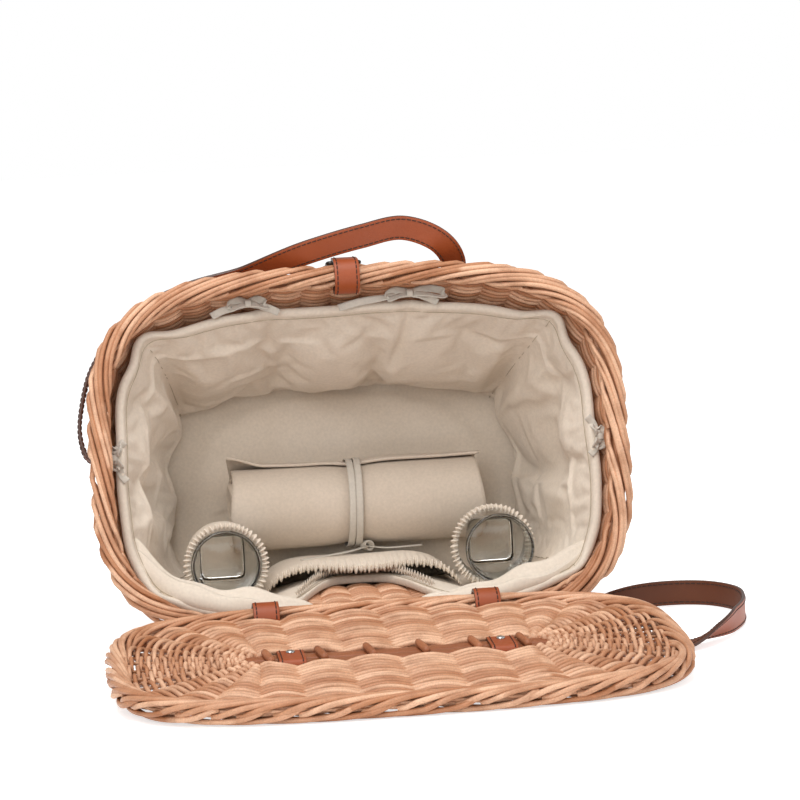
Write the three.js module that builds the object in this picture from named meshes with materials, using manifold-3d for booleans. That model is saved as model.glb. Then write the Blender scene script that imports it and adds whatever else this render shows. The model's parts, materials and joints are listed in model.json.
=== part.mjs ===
// A willow picnic basket with a cotton lining, leather fittings, two tumblers and a rolled cloth.
// It lies on its hinge side with the lid laid open in front of it. Millimetres, +Z up.
// The basket is drawn as if it stood on its base: x runs along the hinge, y from the hinge side to the
// front, z from the base to the rim. One group then lays it down, so all pieces share those dimensions.
import * as THREE from "three";
import { mergeVertices } from "three/addons/utils/BufferGeometryUtils.js";
import Module from "manifold-3d";

const wasm = await Module();
wasm.setup();

// Driving dimensions: clearances
const FIT = 0.3;
const SOFT_FIT = 0.7;
const TURN_FIT = 0.4;
const LOOP_FIT = 1.4;

// Driving dimensions: wickerwork of the basket
const OVAL_POWER = 3.6;
const RIM_HALF_X = 205;
const RIM_HALF_Y = 140;
const RIM_Z = 200;
const BORDER_R = 10;
const BORDER_LOBES = 4;
const BORDER_TURNS = 9;
const BORDER_GROOVE = 0.22;
const BASE_HALF_X = 163;
const BASE_HALF_Y = 94;
const BASE_THICK = 6;
const BASE_RAISE = 2;
const FOOT_R = 5;
const WALL_HALF = 4;
const WALE_HEIGHT = 14;
const WALE_PROUD = 1.5;
const WALE_STEP = 2;
const STAKES = 48;
const WEAVE_DIP = 0.5;

// Driving dimensions: lid
const LID_BORDER_R = 9;
const LID_FORWARD = 7;
const LID_HALF_THICK = 5;
const CORE_HALF_LENGTH = 120;
const CORE_HALF_WIDTH = 14;
const LATH_THICK = 7;
const RUNG_R = 2.4;
const RUNG_COUNT = 6;
const RUNG_PITCH = 38;
const FAN_STICKS = 11;

// Driving dimensions: leather and metal
const STRAP_WIDTH = 20;
const STRAP_THICK = 2.8;
const HANDLE_THICK = 2.5;
const HINGE_X = 86;
const TAB_X = 78;
const HANDLE_X = 85;
const HANDLE_FOOT_Z = 105;
const HANDLE_LEAVE_Z = 150;
const RIVET_R = 3.4;
const RIVET_HEIGHT = 1.8;
const CLOSER_X = -2;
const CLOSER_TAIL = 92;
const CLOSER_TIP = 12;
const CLOSER_HOLE_R = 2;
const CLOSER_HOLES = 4;
const CLOSER_HOLE_PITCH = 13;
const BUCKLE_WIRE_R = 1.6;
const BUCKLE_WIDTH = 29;
const BUCKLE_LENGTH = 22;
const BAR_TUCK = 1;
const BAR_DROP = 9;
const PRONG_WIDTH = 3.4;
const PRONG_THICK = 1.5;
const ROLLER_R = 3;

// Driving dimensions: cotton lining and pockets
const LINING_THICK = 7;
const LINING_TOP = 178;
const LINING_PUFF = 9;
const LINING_FOLD = 5;
const LINING_FOLDS = 9;
const REAR_DIP = 48;
const REAR_DIP_X = 15;
const REAR_DIP_WIDTH = 42;
const POCKET_CLOTH = 2;
const POCKET_LOW = 12;
const POCKET_HIGH = 58;
const WIDE_POCKET_HALF = 70;
const WIDE_POCKET_LOW = 24;
const WIDE_POCKET_HIGH = 150;
const WIDE_POCKET_MOUTH = 14;
const WIDE_POCKET_SLACK = 0.55;
const WIDE_POCKET_FALL = 40;
const WIDE_POCKET_LIP = 6;
const TIE_LOOP = 24;
const TIE_TAPE = 5;
const TIE_HEIGHT = 5;

// Driving dimensions: tumblers and rolled cloth
const GLASS_X = 110;
const GLASS_Z = 95;
const GLASS_HEIGHT = 65;
const GLASS_MOUTH_R = 28;
const GLASS_BASE_HALF = 19;
const GLASS_SQUARENESS = 5;
const GLASS_WALL = 2.6;
const GLASS_BOTTOM = 9;
const ROLL_R = 36;
const ROLL_HALF = 105;
const ROLL_X = 6;
const ROLL_Y = -22;
const ROLL_EDGE = 0.6 * Math.PI;
const ROLL_FLAP = 2.4;
const ROLL_WAIST = 0.05;
const ROLL_WAIST_REACH = 16;
const RIBBON_X = -2;
const RIBBON_WIDTH = 12;
const RIBBON_THICK = 1.2;

// Counts of facets
const AROUND = 60;
const BORDER_STEPS = 108;
const ROUND = 20;
const FOOT_SIDES = 8;

// Colours as the eye sees them
const COLOURS = {
  willow: { color: "#d9976a", roughness: 0.55, metalness: 0 },
  willowCore: { color: "#a8643c", roughness: 0.55, metalness: 0 },
  leather: { color: "#a8592c", roughness: 0.5, metalness: 0 },
  lining: { color: "#d9ceb8", roughness: 0.9, metalness: 0 },
  ribbon: { color: "#cfc6b6", roughness: 0.85, metalness: 0 },
  glass: { color: "#dfe8e6", roughness: 0.05, metalness: 0 },
  gunmetal: { color: "#4a4643", roughness: 0.35, metalness: 1 },
  chrome: { color: "#c8c8c6", roughness: 0.2, metalness: 1 },
};

// Where pieces meet, worked out from the driving dimensions
const FOOT_Z = FOOT_R;
const FOOT_CORNER_R = FOOT_R / Math.cos(Math.PI / FOOT_SIDES);
const WALL_LOW = 2 * FOOT_R + FIT;
const WALL_TOP = RIM_Z - BORDER_R - FIT;
const LOOP_INNER_R = BORDER_R + LOOP_FIT;
const LOOP_OUTER_R = LOOP_INNER_R + STRAP_THICK;
const LID_LOOP_INNER_R = LID_BORDER_R + LOOP_FIT;
const LID_Z = RIM_Z + LOOP_OUTER_R + TURN_FIT + LID_BORDER_R;
const LINING_OUT = WALL_HALF + SOFT_FIT;
const LINING_IN = LINING_OUT + LINING_THICK;
const FLOOR_LOW = BASE_RAISE + BASE_THICK + SOFT_FIT;
const FLOOR_TOP = FLOOR_LOW + LINING_THICK;
const HINGE_Y = -edgeY(HINGE_X, RIM_HALF_X, RIM_HALF_Y);

// The lid is a little shallower than the rim, so its hinge border sits forward of the rim's and its front lines up.
const LID_HALF_Y = RIM_HALF_Y - LID_FORWARD / 2;
const LID_AXIS_Y = LID_FORWARD / 2 - edgeY(HINGE_X, RIM_HALF_X, LID_HALF_Y);

// The lean that lays the hinge side on the table: the loops under the rim and the foot both touch it.
const LEAN_RISE = RIM_Z - FOOT_Z;
const LEAN_RUN = -HINGE_Y - BASE_HALF_Y;
const LEAN =
  Math.atan2(LEAN_RUN, LEAN_RISE) + Math.asin((LOOP_OUTER_R - FOOT_R) / Math.hypot(LEAN_RUN, LEAN_RISE));

// The lid drops from its axis to rest its front border on the table.
const AXIS_HEIGHT =
  LOOP_OUTER_R + (LID_Z - RIM_Z) * Math.sin(LEAN) + (LID_AXIS_Y - HINGE_Y) * Math.cos(LEAN);
const LID_REACH = RIM_HALF_Y - LID_AXIS_Y;
const LID_PITCH = Math.asin((AXIS_HEIGHT - LID_BORDER_R) / LID_REACH);
const LID_OPEN = Math.PI / 2 + LEAN + LID_PITCH;

// The rounded oval of the wickerwork

function ovalPoint(angle, halfX, halfY, power = OVAL_POWER) {
  const c = Math.cos(angle);
  const s = Math.sin(angle);
  const x = halfX * Math.sign(c) * Math.abs(c) ** (2 / power);
  const y = halfY * Math.sign(s) * Math.abs(s) ** (2 / power);
  return new THREE.Vector2(x, y);
}

function edgeY(x, halfX, halfY) {
  return halfY * (1 - Math.abs(x / halfX) ** OVAL_POWER) ** (1 / OVAL_POWER);
}

// Angles that space an oval's points evenly along its edge.
function evenAngles(halfX, halfY, count) {
  const fine = 1440;
  const lengths = [0];
  for (let i = 1; i <= fine; i++) {
    const a = ovalPoint(((i - 1) / fine) * 2 * Math.PI, halfX, halfY);
    const b = ovalPoint((i / fine) * 2 * Math.PI, halfX, halfY);
    lengths.push(lengths[i - 1] + a.distanceTo(b));
  }
  const angles = [];
  let at = 0;
  for (let k = 0; k < count; k++) {
    const wanted = (k / count) * lengths[fine];
    while (lengths[at + 1] < wanted) at++;
    const part = (wanted - lengths[at]) / (lengths[at + 1] - lengths[at]);
    angles.push(((at + part) / fine) * 2 * Math.PI);
  }
  return angles;
}

// Half sizes of the flared wall's middle at a height, moved out by an offset.
function wallAt(z, offset = 0) {
  const part = (z - FOOT_Z) / (RIM_Z - FOOT_Z);
  const halfX = BASE_HALF_X + (RIM_HALF_X - BASE_HALF_X) * part + offset;
  const halfY = BASE_HALF_Y + (RIM_HALF_Y - BASE_HALF_Y) * part + offset;
  return { halfX, halfY };
}

const WALL_ANGLES = evenAngles(RIM_HALF_X, RIM_HALF_Y, AROUND);

// The woven wall stands proud over each stake and dips between one stake and the next.
const STAKE_ANGLES = evenAngles(RIM_HALF_X, RIM_HALF_Y, 2 * STAKES);

function wovenRing(z, offset) {
  return STAKE_ANGLES.map((angle, k) => {
    const { halfX, halfY } = wallAt(z, k % 2 ? offset * WEAVE_DIP : offset);
    const p = ovalPoint(angle, halfX, halfY);
    return new THREE.Vector3(p.x, p.y, z);
  });
}

// Solid makers

function closedBody(points, faces) {
  let volume = 0;
  for (const [a, b, c] of faces) {
    volume += points[a].dot(new THREE.Vector3().crossVectors(points[b], points[c]));
  }
  const outward = volume < 0 ? faces.map(([a, b, c]) => [a, c, b]) : faces;
  return new THREE.BufferGeometry().setFromPoints(points).setIndex(outward.flat());
}

// Skins a row of rings with equal counts; the row closes on itself or gets a cap at each end.
function loft(rings, closes = false) {
  const n = rings[0].length;
  const points = rings.flat();
  const faces = [];
  const spans = closes ? rings.length : rings.length - 1;
  for (let i = 0; i < spans; i++) {
    const j = (i + 1) % rings.length;
    for (let k = 0; k < n; k++) {
      const m = (k + 1) % n;
      faces.push([i * n + k, i * n + m, j * n + m]);
      faces.push([i * n + k, j * n + m, j * n + k]);
    }
  }
  if (!closes) {
    const last = (rings.length - 1) * n;
    const low = points.push(middle(rings[0])) - 1;
    const high = points.push(middle(rings[rings.length - 1])) - 1;
    for (let k = 0; k < n; k++) {
      const m = (k + 1) % n;
      faces.push([low, m, k]);
      faces.push([high, last + k, last + m]);
    }
  }
  return closedBody(points, faces);
}

function middle(ring) {
  const sum = new THREE.Vector3();
  for (const p of ring) sum.add(p);
  return sum.divideScalar(ring.length);
}

// A border of rods laid over the rim: a lobed section that turns as it runs round the oval.
function ropedRing(halfX, halfY, radius) {
  const angles = evenAngles(halfX, halfY, BORDER_STEPS);
  const centres = angles.map((angle) => ovalPoint(angle, halfX, halfY));
  const rings = centres.map((centre, i) => {
    const before = centres[(i + BORDER_STEPS - 1) % BORDER_STEPS];
    const after = centres[(i + 1) % BORDER_STEPS];
    const along = after.clone().sub(before).normalize();
    const out = new THREE.Vector2(along.y, -along.x);
    const turn = (i / BORDER_STEPS) * BORDER_TURNS * 2 * Math.PI;
    const ring = [];
    for (let k = 0; k < 2 * BORDER_LOBES; k++) {
      const at = (k / (2 * BORDER_LOBES)) * 2 * Math.PI + turn;
      const r = k % 2 ? radius * (1 - BORDER_GROOVE) : radius;
      const x = centre.x + out.x * r * Math.cos(at);
      const y = centre.y + out.y * r * Math.cos(at);
      ring.push(new THREE.Vector3(x, y, r * Math.sin(at)));
    }
    return ring;
  });
  return loft(rings, true);
}

// A flat strap along a smooth route: each stop gives a point and the direction of the strap's width.
function strap(stops, width, thick, steps) {
  const path = new THREE.CatmullRomCurve3(
    stops.map((stop) => new THREE.Vector3(...stop.at)),
    false,
    "centripetal",
  );
  const sides = stops.map((stop) => new THREE.Vector3(...stop.side).normalize());
  const rings = [];
  for (let i = 0; i <= steps; i++) {
    const u = i / steps;
    const place = Math.min(u * (stops.length - 1), stops.length - 1 - 1e-9);
    const from = Math.floor(place);
    const along = path.getTangent(u);
    const side = sides[from].clone().lerp(sides[from + 1], place - from);
    side.addScaledVector(along, -side.dot(along)).setLength(width / 2);
    const face = new THREE.Vector3().crossVectors(along, side).setLength(thick / 2);
    const at = path.getPoint(u);
    const ring = [
      [1, 1],
      [-1, 1],
      [-1, -1],
      [1, -1],
    ].map(([s, f]) => at.clone().addScaledVector(side, s).addScaledVector(face, f));
    rings.push(ring);
  }
  return loft(rings);
}

// A round hole on the page.
function circlePath(x, y, radius) {
  const path = new THREE.Path();
  path.absarc(x, y, radius, 0, 2 * Math.PI, true);
  return path;
}

// The tight line round two circles, one above the other on the page.
function hullShape(Kind, low, lowR, high, highR) {
  const axis = Math.atan2(high[1] - low[1], high[0] - low[0]);
  const gap = Math.hypot(high[0] - low[0], high[1] - low[1]);
  const swing = Math.acos((lowR - highR) / gap);
  const shape = new Kind();
  shape.absarc(high[0], high[1], highR, axis - swing, axis + swing, false);
  shape.absarc(low[0], low[1], lowR, axis + swing, axis - swing + 2 * Math.PI, false);
  shape.closePath();
  return shape;
}

// Runs a (y, z) outline along x, centred on a place.
function alongX(shape, x, width) {
  const geometry = new THREE.ExtrudeGeometry(shape, {
    depth: width,
    steps: 1,
    bevelEnabled: false,
    curveSegments: ROUND / 2,
  });
  const toX = new THREE.Matrix4().makeBasis(
    new THREE.Vector3(0, 1, 0),
    new THREE.Vector3(0, 0, 1),
    new THREE.Vector3(1, 0, 0),
  );
  return geometry.applyMatrix4(toX).translate(x - width / 2, 0, 0);
}

function box(sizeX, sizeY, sizeZ, x, y, z) {
  return new THREE.BoxGeometry(sizeX, sizeY, sizeZ).translate(x, y, z);
}

// A rod along y.
function rod(radius, length, sides = ROUND) {
  return new THREE.CylinderGeometry(radius, radius, length, sides);
}

// Cuts and joins

function solid(geometry) {
  const plain = geometry.clone();
  plain.deleteAttribute("normal");
  plain.deleteAttribute("uv");
  const merged = mergeVertices(plain, 1e-3);
  const mesh = new wasm.Mesh({
    numProp: 3,
    vertProperties: new Float32Array(merged.attributes.position.array),
    triVerts: new Uint32Array(merged.index.array),
  });
  return new wasm.Manifold(mesh);
}

function geometryOf(made) {
  const mesh = made.getMesh();
  const geometry = new THREE.BufferGeometry();
  geometry.setAttribute("position", new THREE.BufferAttribute(mesh.vertProperties, 3));
  return geometry.setIndex(new THREE.BufferAttribute(mesh.triVerts, 1));
}

function cut(geometry, cutters) {
  let made = solid(geometry);
  for (const cutter of cutters) made = made.subtract(solid(cutter));
  return geometryOf(made);
}

function join(geometries) {
  let made = solid(geometries[0]);
  for (const geometry of geometries.slice(1)) made = made.add(solid(geometry));
  return geometryOf(made);
}

function put(group, name, geometry, finish) {
  const mesh = new THREE.Mesh(geometry, new THREE.MeshStandardMaterial(COLOURS[finish]));
  mesh.name = name;
  group.add(mesh);
  return mesh;
}

// The wickerwork of the basket

function footRing() {
  const rings = WALL_ANGLES.map((angle) => {
    const centre = ovalPoint(angle, BASE_HALF_X, BASE_HALF_Y);
    const out = ovalPoint(angle, BASE_HALF_X + 1, BASE_HALF_Y + 1).sub(centre).normalize();
    const ring = [];
    for (let k = 0; k < FOOT_SIDES; k++) {
      const at = ((k + 0.5) / FOOT_SIDES) * 2 * Math.PI;
      const across = FOOT_CORNER_R * Math.cos(at);
      const up = FOOT_CORNER_R * Math.sin(at);
      ring.push(new THREE.Vector3(centre.x + out.x * across, centre.y + out.y * across, FOOT_Z + up));
    }
    return ring;
  });
  return loft(rings, true);
}

function basePanel() {
  const { halfX, halfY } = wallAt(FOOT_Z, -FOOT_CORNER_R - FIT);
  const rings = [BASE_RAISE, BASE_RAISE + BASE_THICK].map((z) =>
    WALL_ANGLES.map((angle) => {
      const p = ovalPoint(angle, halfX, halfY);
      return new THREE.Vector3(p.x, p.y, z);
    }),
  );
  return loft(rings);
}

function sideWall() {
  const proud = WALL_HALF + WALE_PROUD;
  const profile = [
    [proud, WALL_LOW],
    [proud, WALL_LOW + WALE_HEIGHT],
    [WALL_HALF, WALL_LOW + WALE_HEIGHT + WALE_STEP],
    [WALL_HALF, WALL_TOP - WALE_HEIGHT - WALE_STEP],
    [proud, WALL_TOP - WALE_HEIGHT],
    [proud, WALL_TOP],
    [-WALL_HALF, WALL_TOP],
    [-WALL_HALF, WALL_LOW],
  ];
  const shell = loft(
    profile.map(([offset, z]) => wovenRing(z, offset)),
    true,
  );
  // Gaps in the weave under the border, where the leather passes through.
  const gapWidth = STRAP_WIDTH + 4 * FIT;
  const gapDepth = LOOP_OUTER_R - BORDER_R + 2 * FIT;
  const reach = 6 * WALL_HALF;
  const gap = (x, y) => box(gapWidth, reach, 2 * gapDepth, x, y, WALL_TOP);
  return cut(shell, [gap(-HINGE_X, HINGE_Y), gap(HINGE_X, HINGE_Y), gap(CLOSER_X, RIM_HALF_Y)]);
}

// The cotton lining

function liningInside(z) {
  return wallAt(z, -LINING_IN);
}

// How high the lining's hem stands: it sags in the middle of the hinge side.
function hemHeight(x, y) {
  if (y > 0) return LINING_TOP;
  const away = (x - REAR_DIP_X) / REAR_DIP_WIDTH;
  return LINING_TOP - REAR_DIP * Math.exp(-away * away);
}

// The padding puffs the lining inwards in folds on the front and the ends, and leaves the hinge side smooth
// for its pockets.
function foldAt(place, part, y, halfY) {
  const onFront = THREE.MathUtils.smoothstep(y / halfY, -0.75, -0.1);
  const wave = 0.5 + 0.5 * Math.sin(2 * Math.PI * LINING_FOLDS * place + 3 * part);
  return (LINING_PUFF + LINING_FOLD * wave) * onFront * Math.sin(Math.PI * part);
}

function lining() {
  const outerParts = [0, 0.5, 0.97];
  const innerParts = [0.97, 0.85, 0.7, 0.52, 0.34, 0.16, 0];
  const ringAt = (part, low, offsetAt) =>
    WALL_ANGLES.map((angle, i) => {
      const edge = ovalPoint(angle, RIM_HALF_X, RIM_HALF_Y);
      const z = low + (hemHeight(edge.x, edge.y) - low) * part;
      const { halfX, halfY } = wallAt(z, -offsetAt(i / AROUND, part, edge.y));
      const p = ovalPoint(angle, halfX, halfY);
      return new THREE.Vector3(p.x, p.y, z);
    });
  const outside = () => LINING_OUT;
  const hem = () => (LINING_OUT + LINING_IN) / 2;
  const inside = (place, part, y) => LINING_IN + foldAt(place, part, y, RIM_HALF_Y);
  const rings = outerParts.map((part) => ringAt(part, FLOOR_LOW, outside));
  rings.push(ringAt(1, FLOOR_LOW, hem));
  rings.push(...innerParts.map((part) => ringAt(part, FLOOR_TOP, inside)));
  return loft(rings);
}

// How far from the middle line a round piece comes to rest on the hinge side's lining.
function restOnRear(x, z, radius) {
  const { halfX, halfY } = liningInside(z);
  const wall = evenAngles(halfX, halfY, 240).map((angle) => ovalPoint(angle, halfX, halfY));
  const nearest = (y) => Math.min(...wall.map((p) => Math.hypot(p.x - x, p.y - y)));
  let y = 0;
  while (nearest(y) > radius) y -= 0.05;
  return y;
}

// A tumbler stands in its sleeve, and the sleeve leans along the hinge side.
const SLEEVE_IN_R = GLASS_MOUTH_R + TURN_FIT;
const SLEEVE_OUT_R = SLEEVE_IN_R + POCKET_CLOTH;

function glassPlace(sign) {
  const x = sign * GLASS_X;
  const seat = SLEEVE_OUT_R + SOFT_FIT + 2 * FIT;
  const low = restOnRear(x, GLASS_Z, seat);
  const high = restOnRear(x, GLASS_Z + GLASS_HEIGHT, seat);
  const group = new THREE.Group();
  group.position.set(x, low, GLASS_Z);
  group.rotation.x = Math.atan2(low - high, GLASS_HEIGHT);
  return group;
}

function roundRing(radius, z, count = 2 * ROUND) {
  const ring = [];
  for (let k = 0; k < count; k++) {
    const at = (k / count) * 2 * Math.PI;
    ring.push(new THREE.Vector3(radius * Math.cos(at), radius * Math.sin(at), z));
  }
  return ring;
}

// An elastic sleeve, gathered at its mouth.
function glassPocket() {
  const ruffle = 1;
  const middleZ = (POCKET_LOW + POCKET_HIGH) / 2;
  const rings = [
    roundRing(SLEEVE_IN_R, POCKET_LOW),
    roundRing(SLEEVE_OUT_R - ruffle, POCKET_LOW),
    roundRing(SLEEVE_OUT_R, middleZ),
    roundRing(SLEEVE_OUT_R - ruffle, POCKET_HIGH - 2 * POCKET_CLOTH),
    roundRing(SLEEVE_OUT_R, POCKET_HIGH - POCKET_CLOTH),
    roundRing(SLEEVE_OUT_R - ruffle, POCKET_HIGH),
    roundRing(SLEEVE_IN_R, POCKET_HIGH),
  ];
  return loft(rings, true);
}

// A tumbler with a square foot that turns round towards its mouth.
function tumbler() {
  const count = 2 * ROUND;
  const ringAt = (part, half, z) => {
    const power = 2 + GLASS_SQUARENESS * (1 - part) ** 2;
    const ring = [];
    for (let k = 0; k < count; k++) {
      const p = ovalPoint((k / count) * 2 * Math.PI, half, half, power);
      ring.push(new THREE.Vector3(p.x, p.y, z));
    }
    return ring;
  };
  const halfAt = (part) => GLASS_BASE_HALF + (GLASS_MOUTH_R - GLASS_BASE_HALF) * part;
  const parts = [0, 0.3, 0.65, 1];
  const rings = parts.map((part) => ringAt(part, halfAt(part), part * GLASS_HEIGHT));
  const inner = [...parts].reverse().map((part) => {
    const z = GLASS_BOTTOM + part * (GLASS_HEIGHT - GLASS_BOTTOM);
    return ringAt(part, halfAt(z / GLASS_HEIGHT) - GLASS_WALL, z);
  });
  return loft([...rings, ...inner]);
}

// The wide pocket between the tumblers bulges under the rolled cloth and gapes at its elastic mouth.
const ROLL_Z = FLOOR_TOP + SOFT_FIT + rollRadius(1.5 * Math.PI);
const ROLL_LOW_Y = ROLL_Y - rollRadius(Math.PI);

function widePocket() {
  const stations = [-1, -0.8, -0.4, 0, 0.4, 0.8, 1];
  const back = (x, z) => {
    const { halfX, halfY } = liningInside(z);
    return -edgeY(x, halfX, halfY) + SOFT_FIT;
  };
  const rings = stations.map((station) => {
    const x = station * WIDE_POCKET_HALF;
    const fullness = 1 - WIDE_POCKET_SLACK * Math.abs(station) ** 3;
    const mouth = back(x, WIDE_POCKET_HIGH) + WIDE_POCKET_MOUTH * fullness;
    const crown = ROLL_LOW_Y - SOFT_FIT - WIDE_POCKET_FALL * (1 - fullness);
    const outline = [
      [back(x, WIDE_POCKET_LOW), WIDE_POCKET_LOW],
      [back(x, WIDE_POCKET_LOW) + (crown - back(x, ROLL_Z)) / 2, WIDE_POCKET_LOW + WIDE_POCKET_LIP],
      [crown, ROLL_Z],
      [(crown + mouth) / 2, (ROLL_Z + WIDE_POCKET_HIGH) / 2],
      [mouth, WIDE_POCKET_HIGH],
      [back(x, WIDE_POCKET_HIGH), WIDE_POCKET_HIGH],
      [back(x, ROLL_Z), ROLL_Z],
    ];
    return outline.map(([y, z]) => new THREE.Vector3(x, y, z));
  });
  return loft(rings);
}

// A cotton tape bow that ties the lining to the wall, lying on the hem.
function bow() {
  const loops = [-1, 1].map((sign) => {
    const centre = (sign * TIE_LOOP) / 2;
    const shape = new THREE.Shape();
    shape.absellipse(centre, 0, TIE_LOOP / 2, TIE_TAPE, 0, 2 * Math.PI, false);
    const hole = new THREE.Path();
    hole.absellipse(centre, 0, TIE_LOOP / 2 - 2, TIE_TAPE - 2, 0, 2 * Math.PI, true);
    shape.holes.push(hole);
    return new THREE.ExtrudeGeometry(shape, { depth: TIE_HEIGHT, bevelEnabled: false, curveSegments: 8 });
  });
  const knot = box(TIE_TAPE, TIE_TAPE, TIE_HEIGHT, 0, 0, TIE_HEIGHT / 2);
  return join([...loops, knot]);
}

// The rolled cloth, its last turn showing as a step, drawn in under the ribbon

// The cloth's outer turn grows from its free edge all the way round to it again.
function rollRadius(angle) {
  const part = THREE.MathUtils.euclideanModulo(angle - ROLL_EDGE, 2 * Math.PI) / (2 * Math.PI);
  return ROLL_R + ROLL_FLAP * part;
}

function rollRing(x, grow) {
  const count = 2 * ROUND;
  const waist = 1 - ROLL_WAIST * Math.exp(-(((x - RIBBON_X) / ROLL_WAIST_REACH) ** 2));
  const ring = [];
  for (let k = 0; k < count; k++) {
    const at = ((k + 0.5) / count) * 2 * Math.PI + ROLL_EDGE;
    const r = rollRadius(at) * waist + grow;
    ring.push(new THREE.Vector3(x, r * Math.cos(at), r * Math.sin(at)));
  }
  return ring;
}

function clothRoll() {
  const ends = [1, 0.86, 0.5];
  const stations = [
    ...ends.map((end) => -ROLL_HALF * end),
    RIBBON_X - 28,
    RIBBON_X - 10,
    RIBBON_X,
    RIBBON_X + 10,
    RIBBON_X + 28,
    ...ends.reverse().map((end) => ROLL_HALF * end),
  ];
  return loft(stations.map((x) => rollRing(x, Math.abs(x) === ROLL_HALF ? -2 : 0)));
}

function rollRibbon() {
  const low = RIBBON_X - RIBBON_WIDTH / 2;
  const high = RIBBON_X + RIBBON_WIDTH / 2;
  const rings = [
    rollRing(low, SOFT_FIT),
    rollRing(low, SOFT_FIT + RIBBON_THICK),
    rollRing(high, SOFT_FIT + RIBBON_THICK),
    rollRing(high, SOFT_FIT),
  ];
  return loft(rings, true);
}

// The leather

// A hinge loop holds the rim and the lid's border together; the lid's border turns inside it.
function hingeLoop(sign) {
  const rim = [HINGE_Y, RIM_Z];
  const lid = [LID_AXIS_Y, LID_Z];
  const outline = hullShape(THREE.Shape, rim, LOOP_OUTER_R, lid, LID_LOOP_INNER_R + STRAP_THICK);
  outline.holes.push(hullShape(THREE.Path, rim, LOOP_INNER_R, lid, LID_LOOP_INNER_R));
  return alongX(outline, sign * HINGE_X, STRAP_WIDTH);
}

// The buckle hangs on a bar in a fold of the closing strap, just outside the rim.
const BAR_Y = RIM_HALF_Y + LOOP_OUTER_R - BAR_TUCK;
const BAR_Z = RIM_Z - BAR_DROP;

function closingStrap() {
  const rim = [RIM_HALF_Y, RIM_Z];
  const bar = [BAR_Y, BAR_Z];
  const outline = hullShape(THREE.Shape, rim, LOOP_OUTER_R, bar, BUCKLE_WIRE_R + TURN_FIT + STRAP_THICK / 2);
  outline.holes.push(circlePath(rim[0], rim[1], LOOP_INNER_R));
  outline.holes.push(circlePath(bar[0], bar[1], BUCKLE_WIRE_R + TURN_FIT));
  const turn = alongX(outline, CLOSER_X, STRAP_WIDTH);
  const slotSize = 4 * BUCKLE_WIRE_R + 3 * PRONG_THICK;
  const slot = box(PRONG_WIDTH + 2 * TURN_FIT, slotSize, slotSize, CLOSER_X, BAR_Y + BUCKLE_WIRE_R, BAR_Z);
  // The tail lies down the outside of the front wall, with holes for the prong and a pointed end.
  const tailTop = RIM_Z - LOOP_OUTER_R + STRAP_THICK;
  const wallOut = (z) => wallAt(z, WALL_HALF + WALE_PROUD + SOFT_FIT + STRAP_THICK / 2).halfY;
  const side = [1, 0, 0];
  const tailLow = tailTop - CLOSER_TAIL;
  const tail = strap(
    [tailTop, tailTop - CLOSER_TIP, tailLow + CLOSER_TAIL / 2, tailLow].map((z) => ({
      at: [CLOSER_X, wallOut(z), z],
      side,
    })),
    STRAP_WIDTH,
    STRAP_THICK,
    8,
  );
  const holes = [];
  for (let i = 0; i < CLOSER_HOLES; i++) {
    const z = tailLow + CLOSER_TIP + (i + 1) * CLOSER_HOLE_PITCH;
    holes.push(rod(CLOSER_HOLE_R, 8 * STRAP_THICK, 10).translate(CLOSER_X, wallOut(z), z));
  }
  const corners = [-1, 1].map((sign) => {
    const corner = box(STRAP_WIDTH, 12 * STRAP_THICK, STRAP_WIDTH, 0, 0, 0);
    corner.rotateY((sign * Math.PI) / 4);
    return corner.translate(CLOSER_X + sign * STRAP_WIDTH * 0.98, wallOut(tailLow), tailLow - 2);
  });
  return join([cut(turn, [slot]), cut(tail, [...holes, ...corners])]);
}

function buckleFrame() {
  const half = BUCKLE_WIDTH / 2;
  const outline = new THREE.Shape();
  outline.moveTo(-half, BUCKLE_WIRE_R);
  outline.lineTo(half, BUCKLE_WIRE_R);
  outline.lineTo(half, -BUCKLE_LENGTH + BUCKLE_WIRE_R);
  outline.lineTo(-half, -BUCKLE_LENGTH + BUCKLE_WIRE_R);
  outline.closePath();
  const hole = new THREE.Path();
  const inner = half - 2 * BUCKLE_WIRE_R;
  const reach = -BUCKLE_LENGTH + 3 * BUCKLE_WIRE_R;
  hole.moveTo(-inner, -BUCKLE_WIRE_R);
  hole.lineTo(-inner, reach);
  hole.lineTo(inner, reach);
  hole.lineTo(inner, -BUCKLE_WIRE_R);
  hole.closePath();
  outline.holes.push(hole);
  const depth = 2 * BUCKLE_WIRE_R * Math.SQRT1_2;
  const plate = new THREE.ExtrudeGeometry(outline, { depth, bevelEnabled: false });
  const standing = plate.translate(0, 0, -depth / 2).rotateX(Math.PI / 2);
  // The bar inside the fold is turned round, so that the frame can swing on it.
  const barLength = BUCKLE_WIDTH - 4 * BUCKLE_WIRE_R + 2 * FIT;
  const clear = box(barLength - 2 * FIT, 6 * BUCKLE_WIRE_R, 2 * BUCKLE_WIRE_R + FIT, 0, 0, 0);
  const bar = rod(BUCKLE_WIRE_R, barLength, 12).rotateZ(Math.PI / 2);
  return join([cut(standing, [clear]), bar]);
}

function buckleProng() {
  const ring = BUCKLE_WIRE_R + TURN_FIT;
  const outer = ring + PRONG_THICK;
  const reach = -BUCKLE_LENGTH + BUCKLE_WIRE_R;
  const arm = new THREE.Shape();
  arm.moveTo(ring, 0);
  arm.lineTo(outer, 0);
  arm.lineTo(ROLLER_R + FIT + PRONG_THICK, reach);
  arm.lineTo(ROLLER_R + FIT, reach);
  arm.closePath();
  const eye = new THREE.Shape();
  eye.absarc(0, 0, outer, 0, 2 * Math.PI, false);
  eye.holes.push(circlePath(0, 0, ring));
  return join([alongX(eye, 0, PRONG_WIDTH), alongX(arm, 0, PRONG_WIDTH)]);
}

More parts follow.
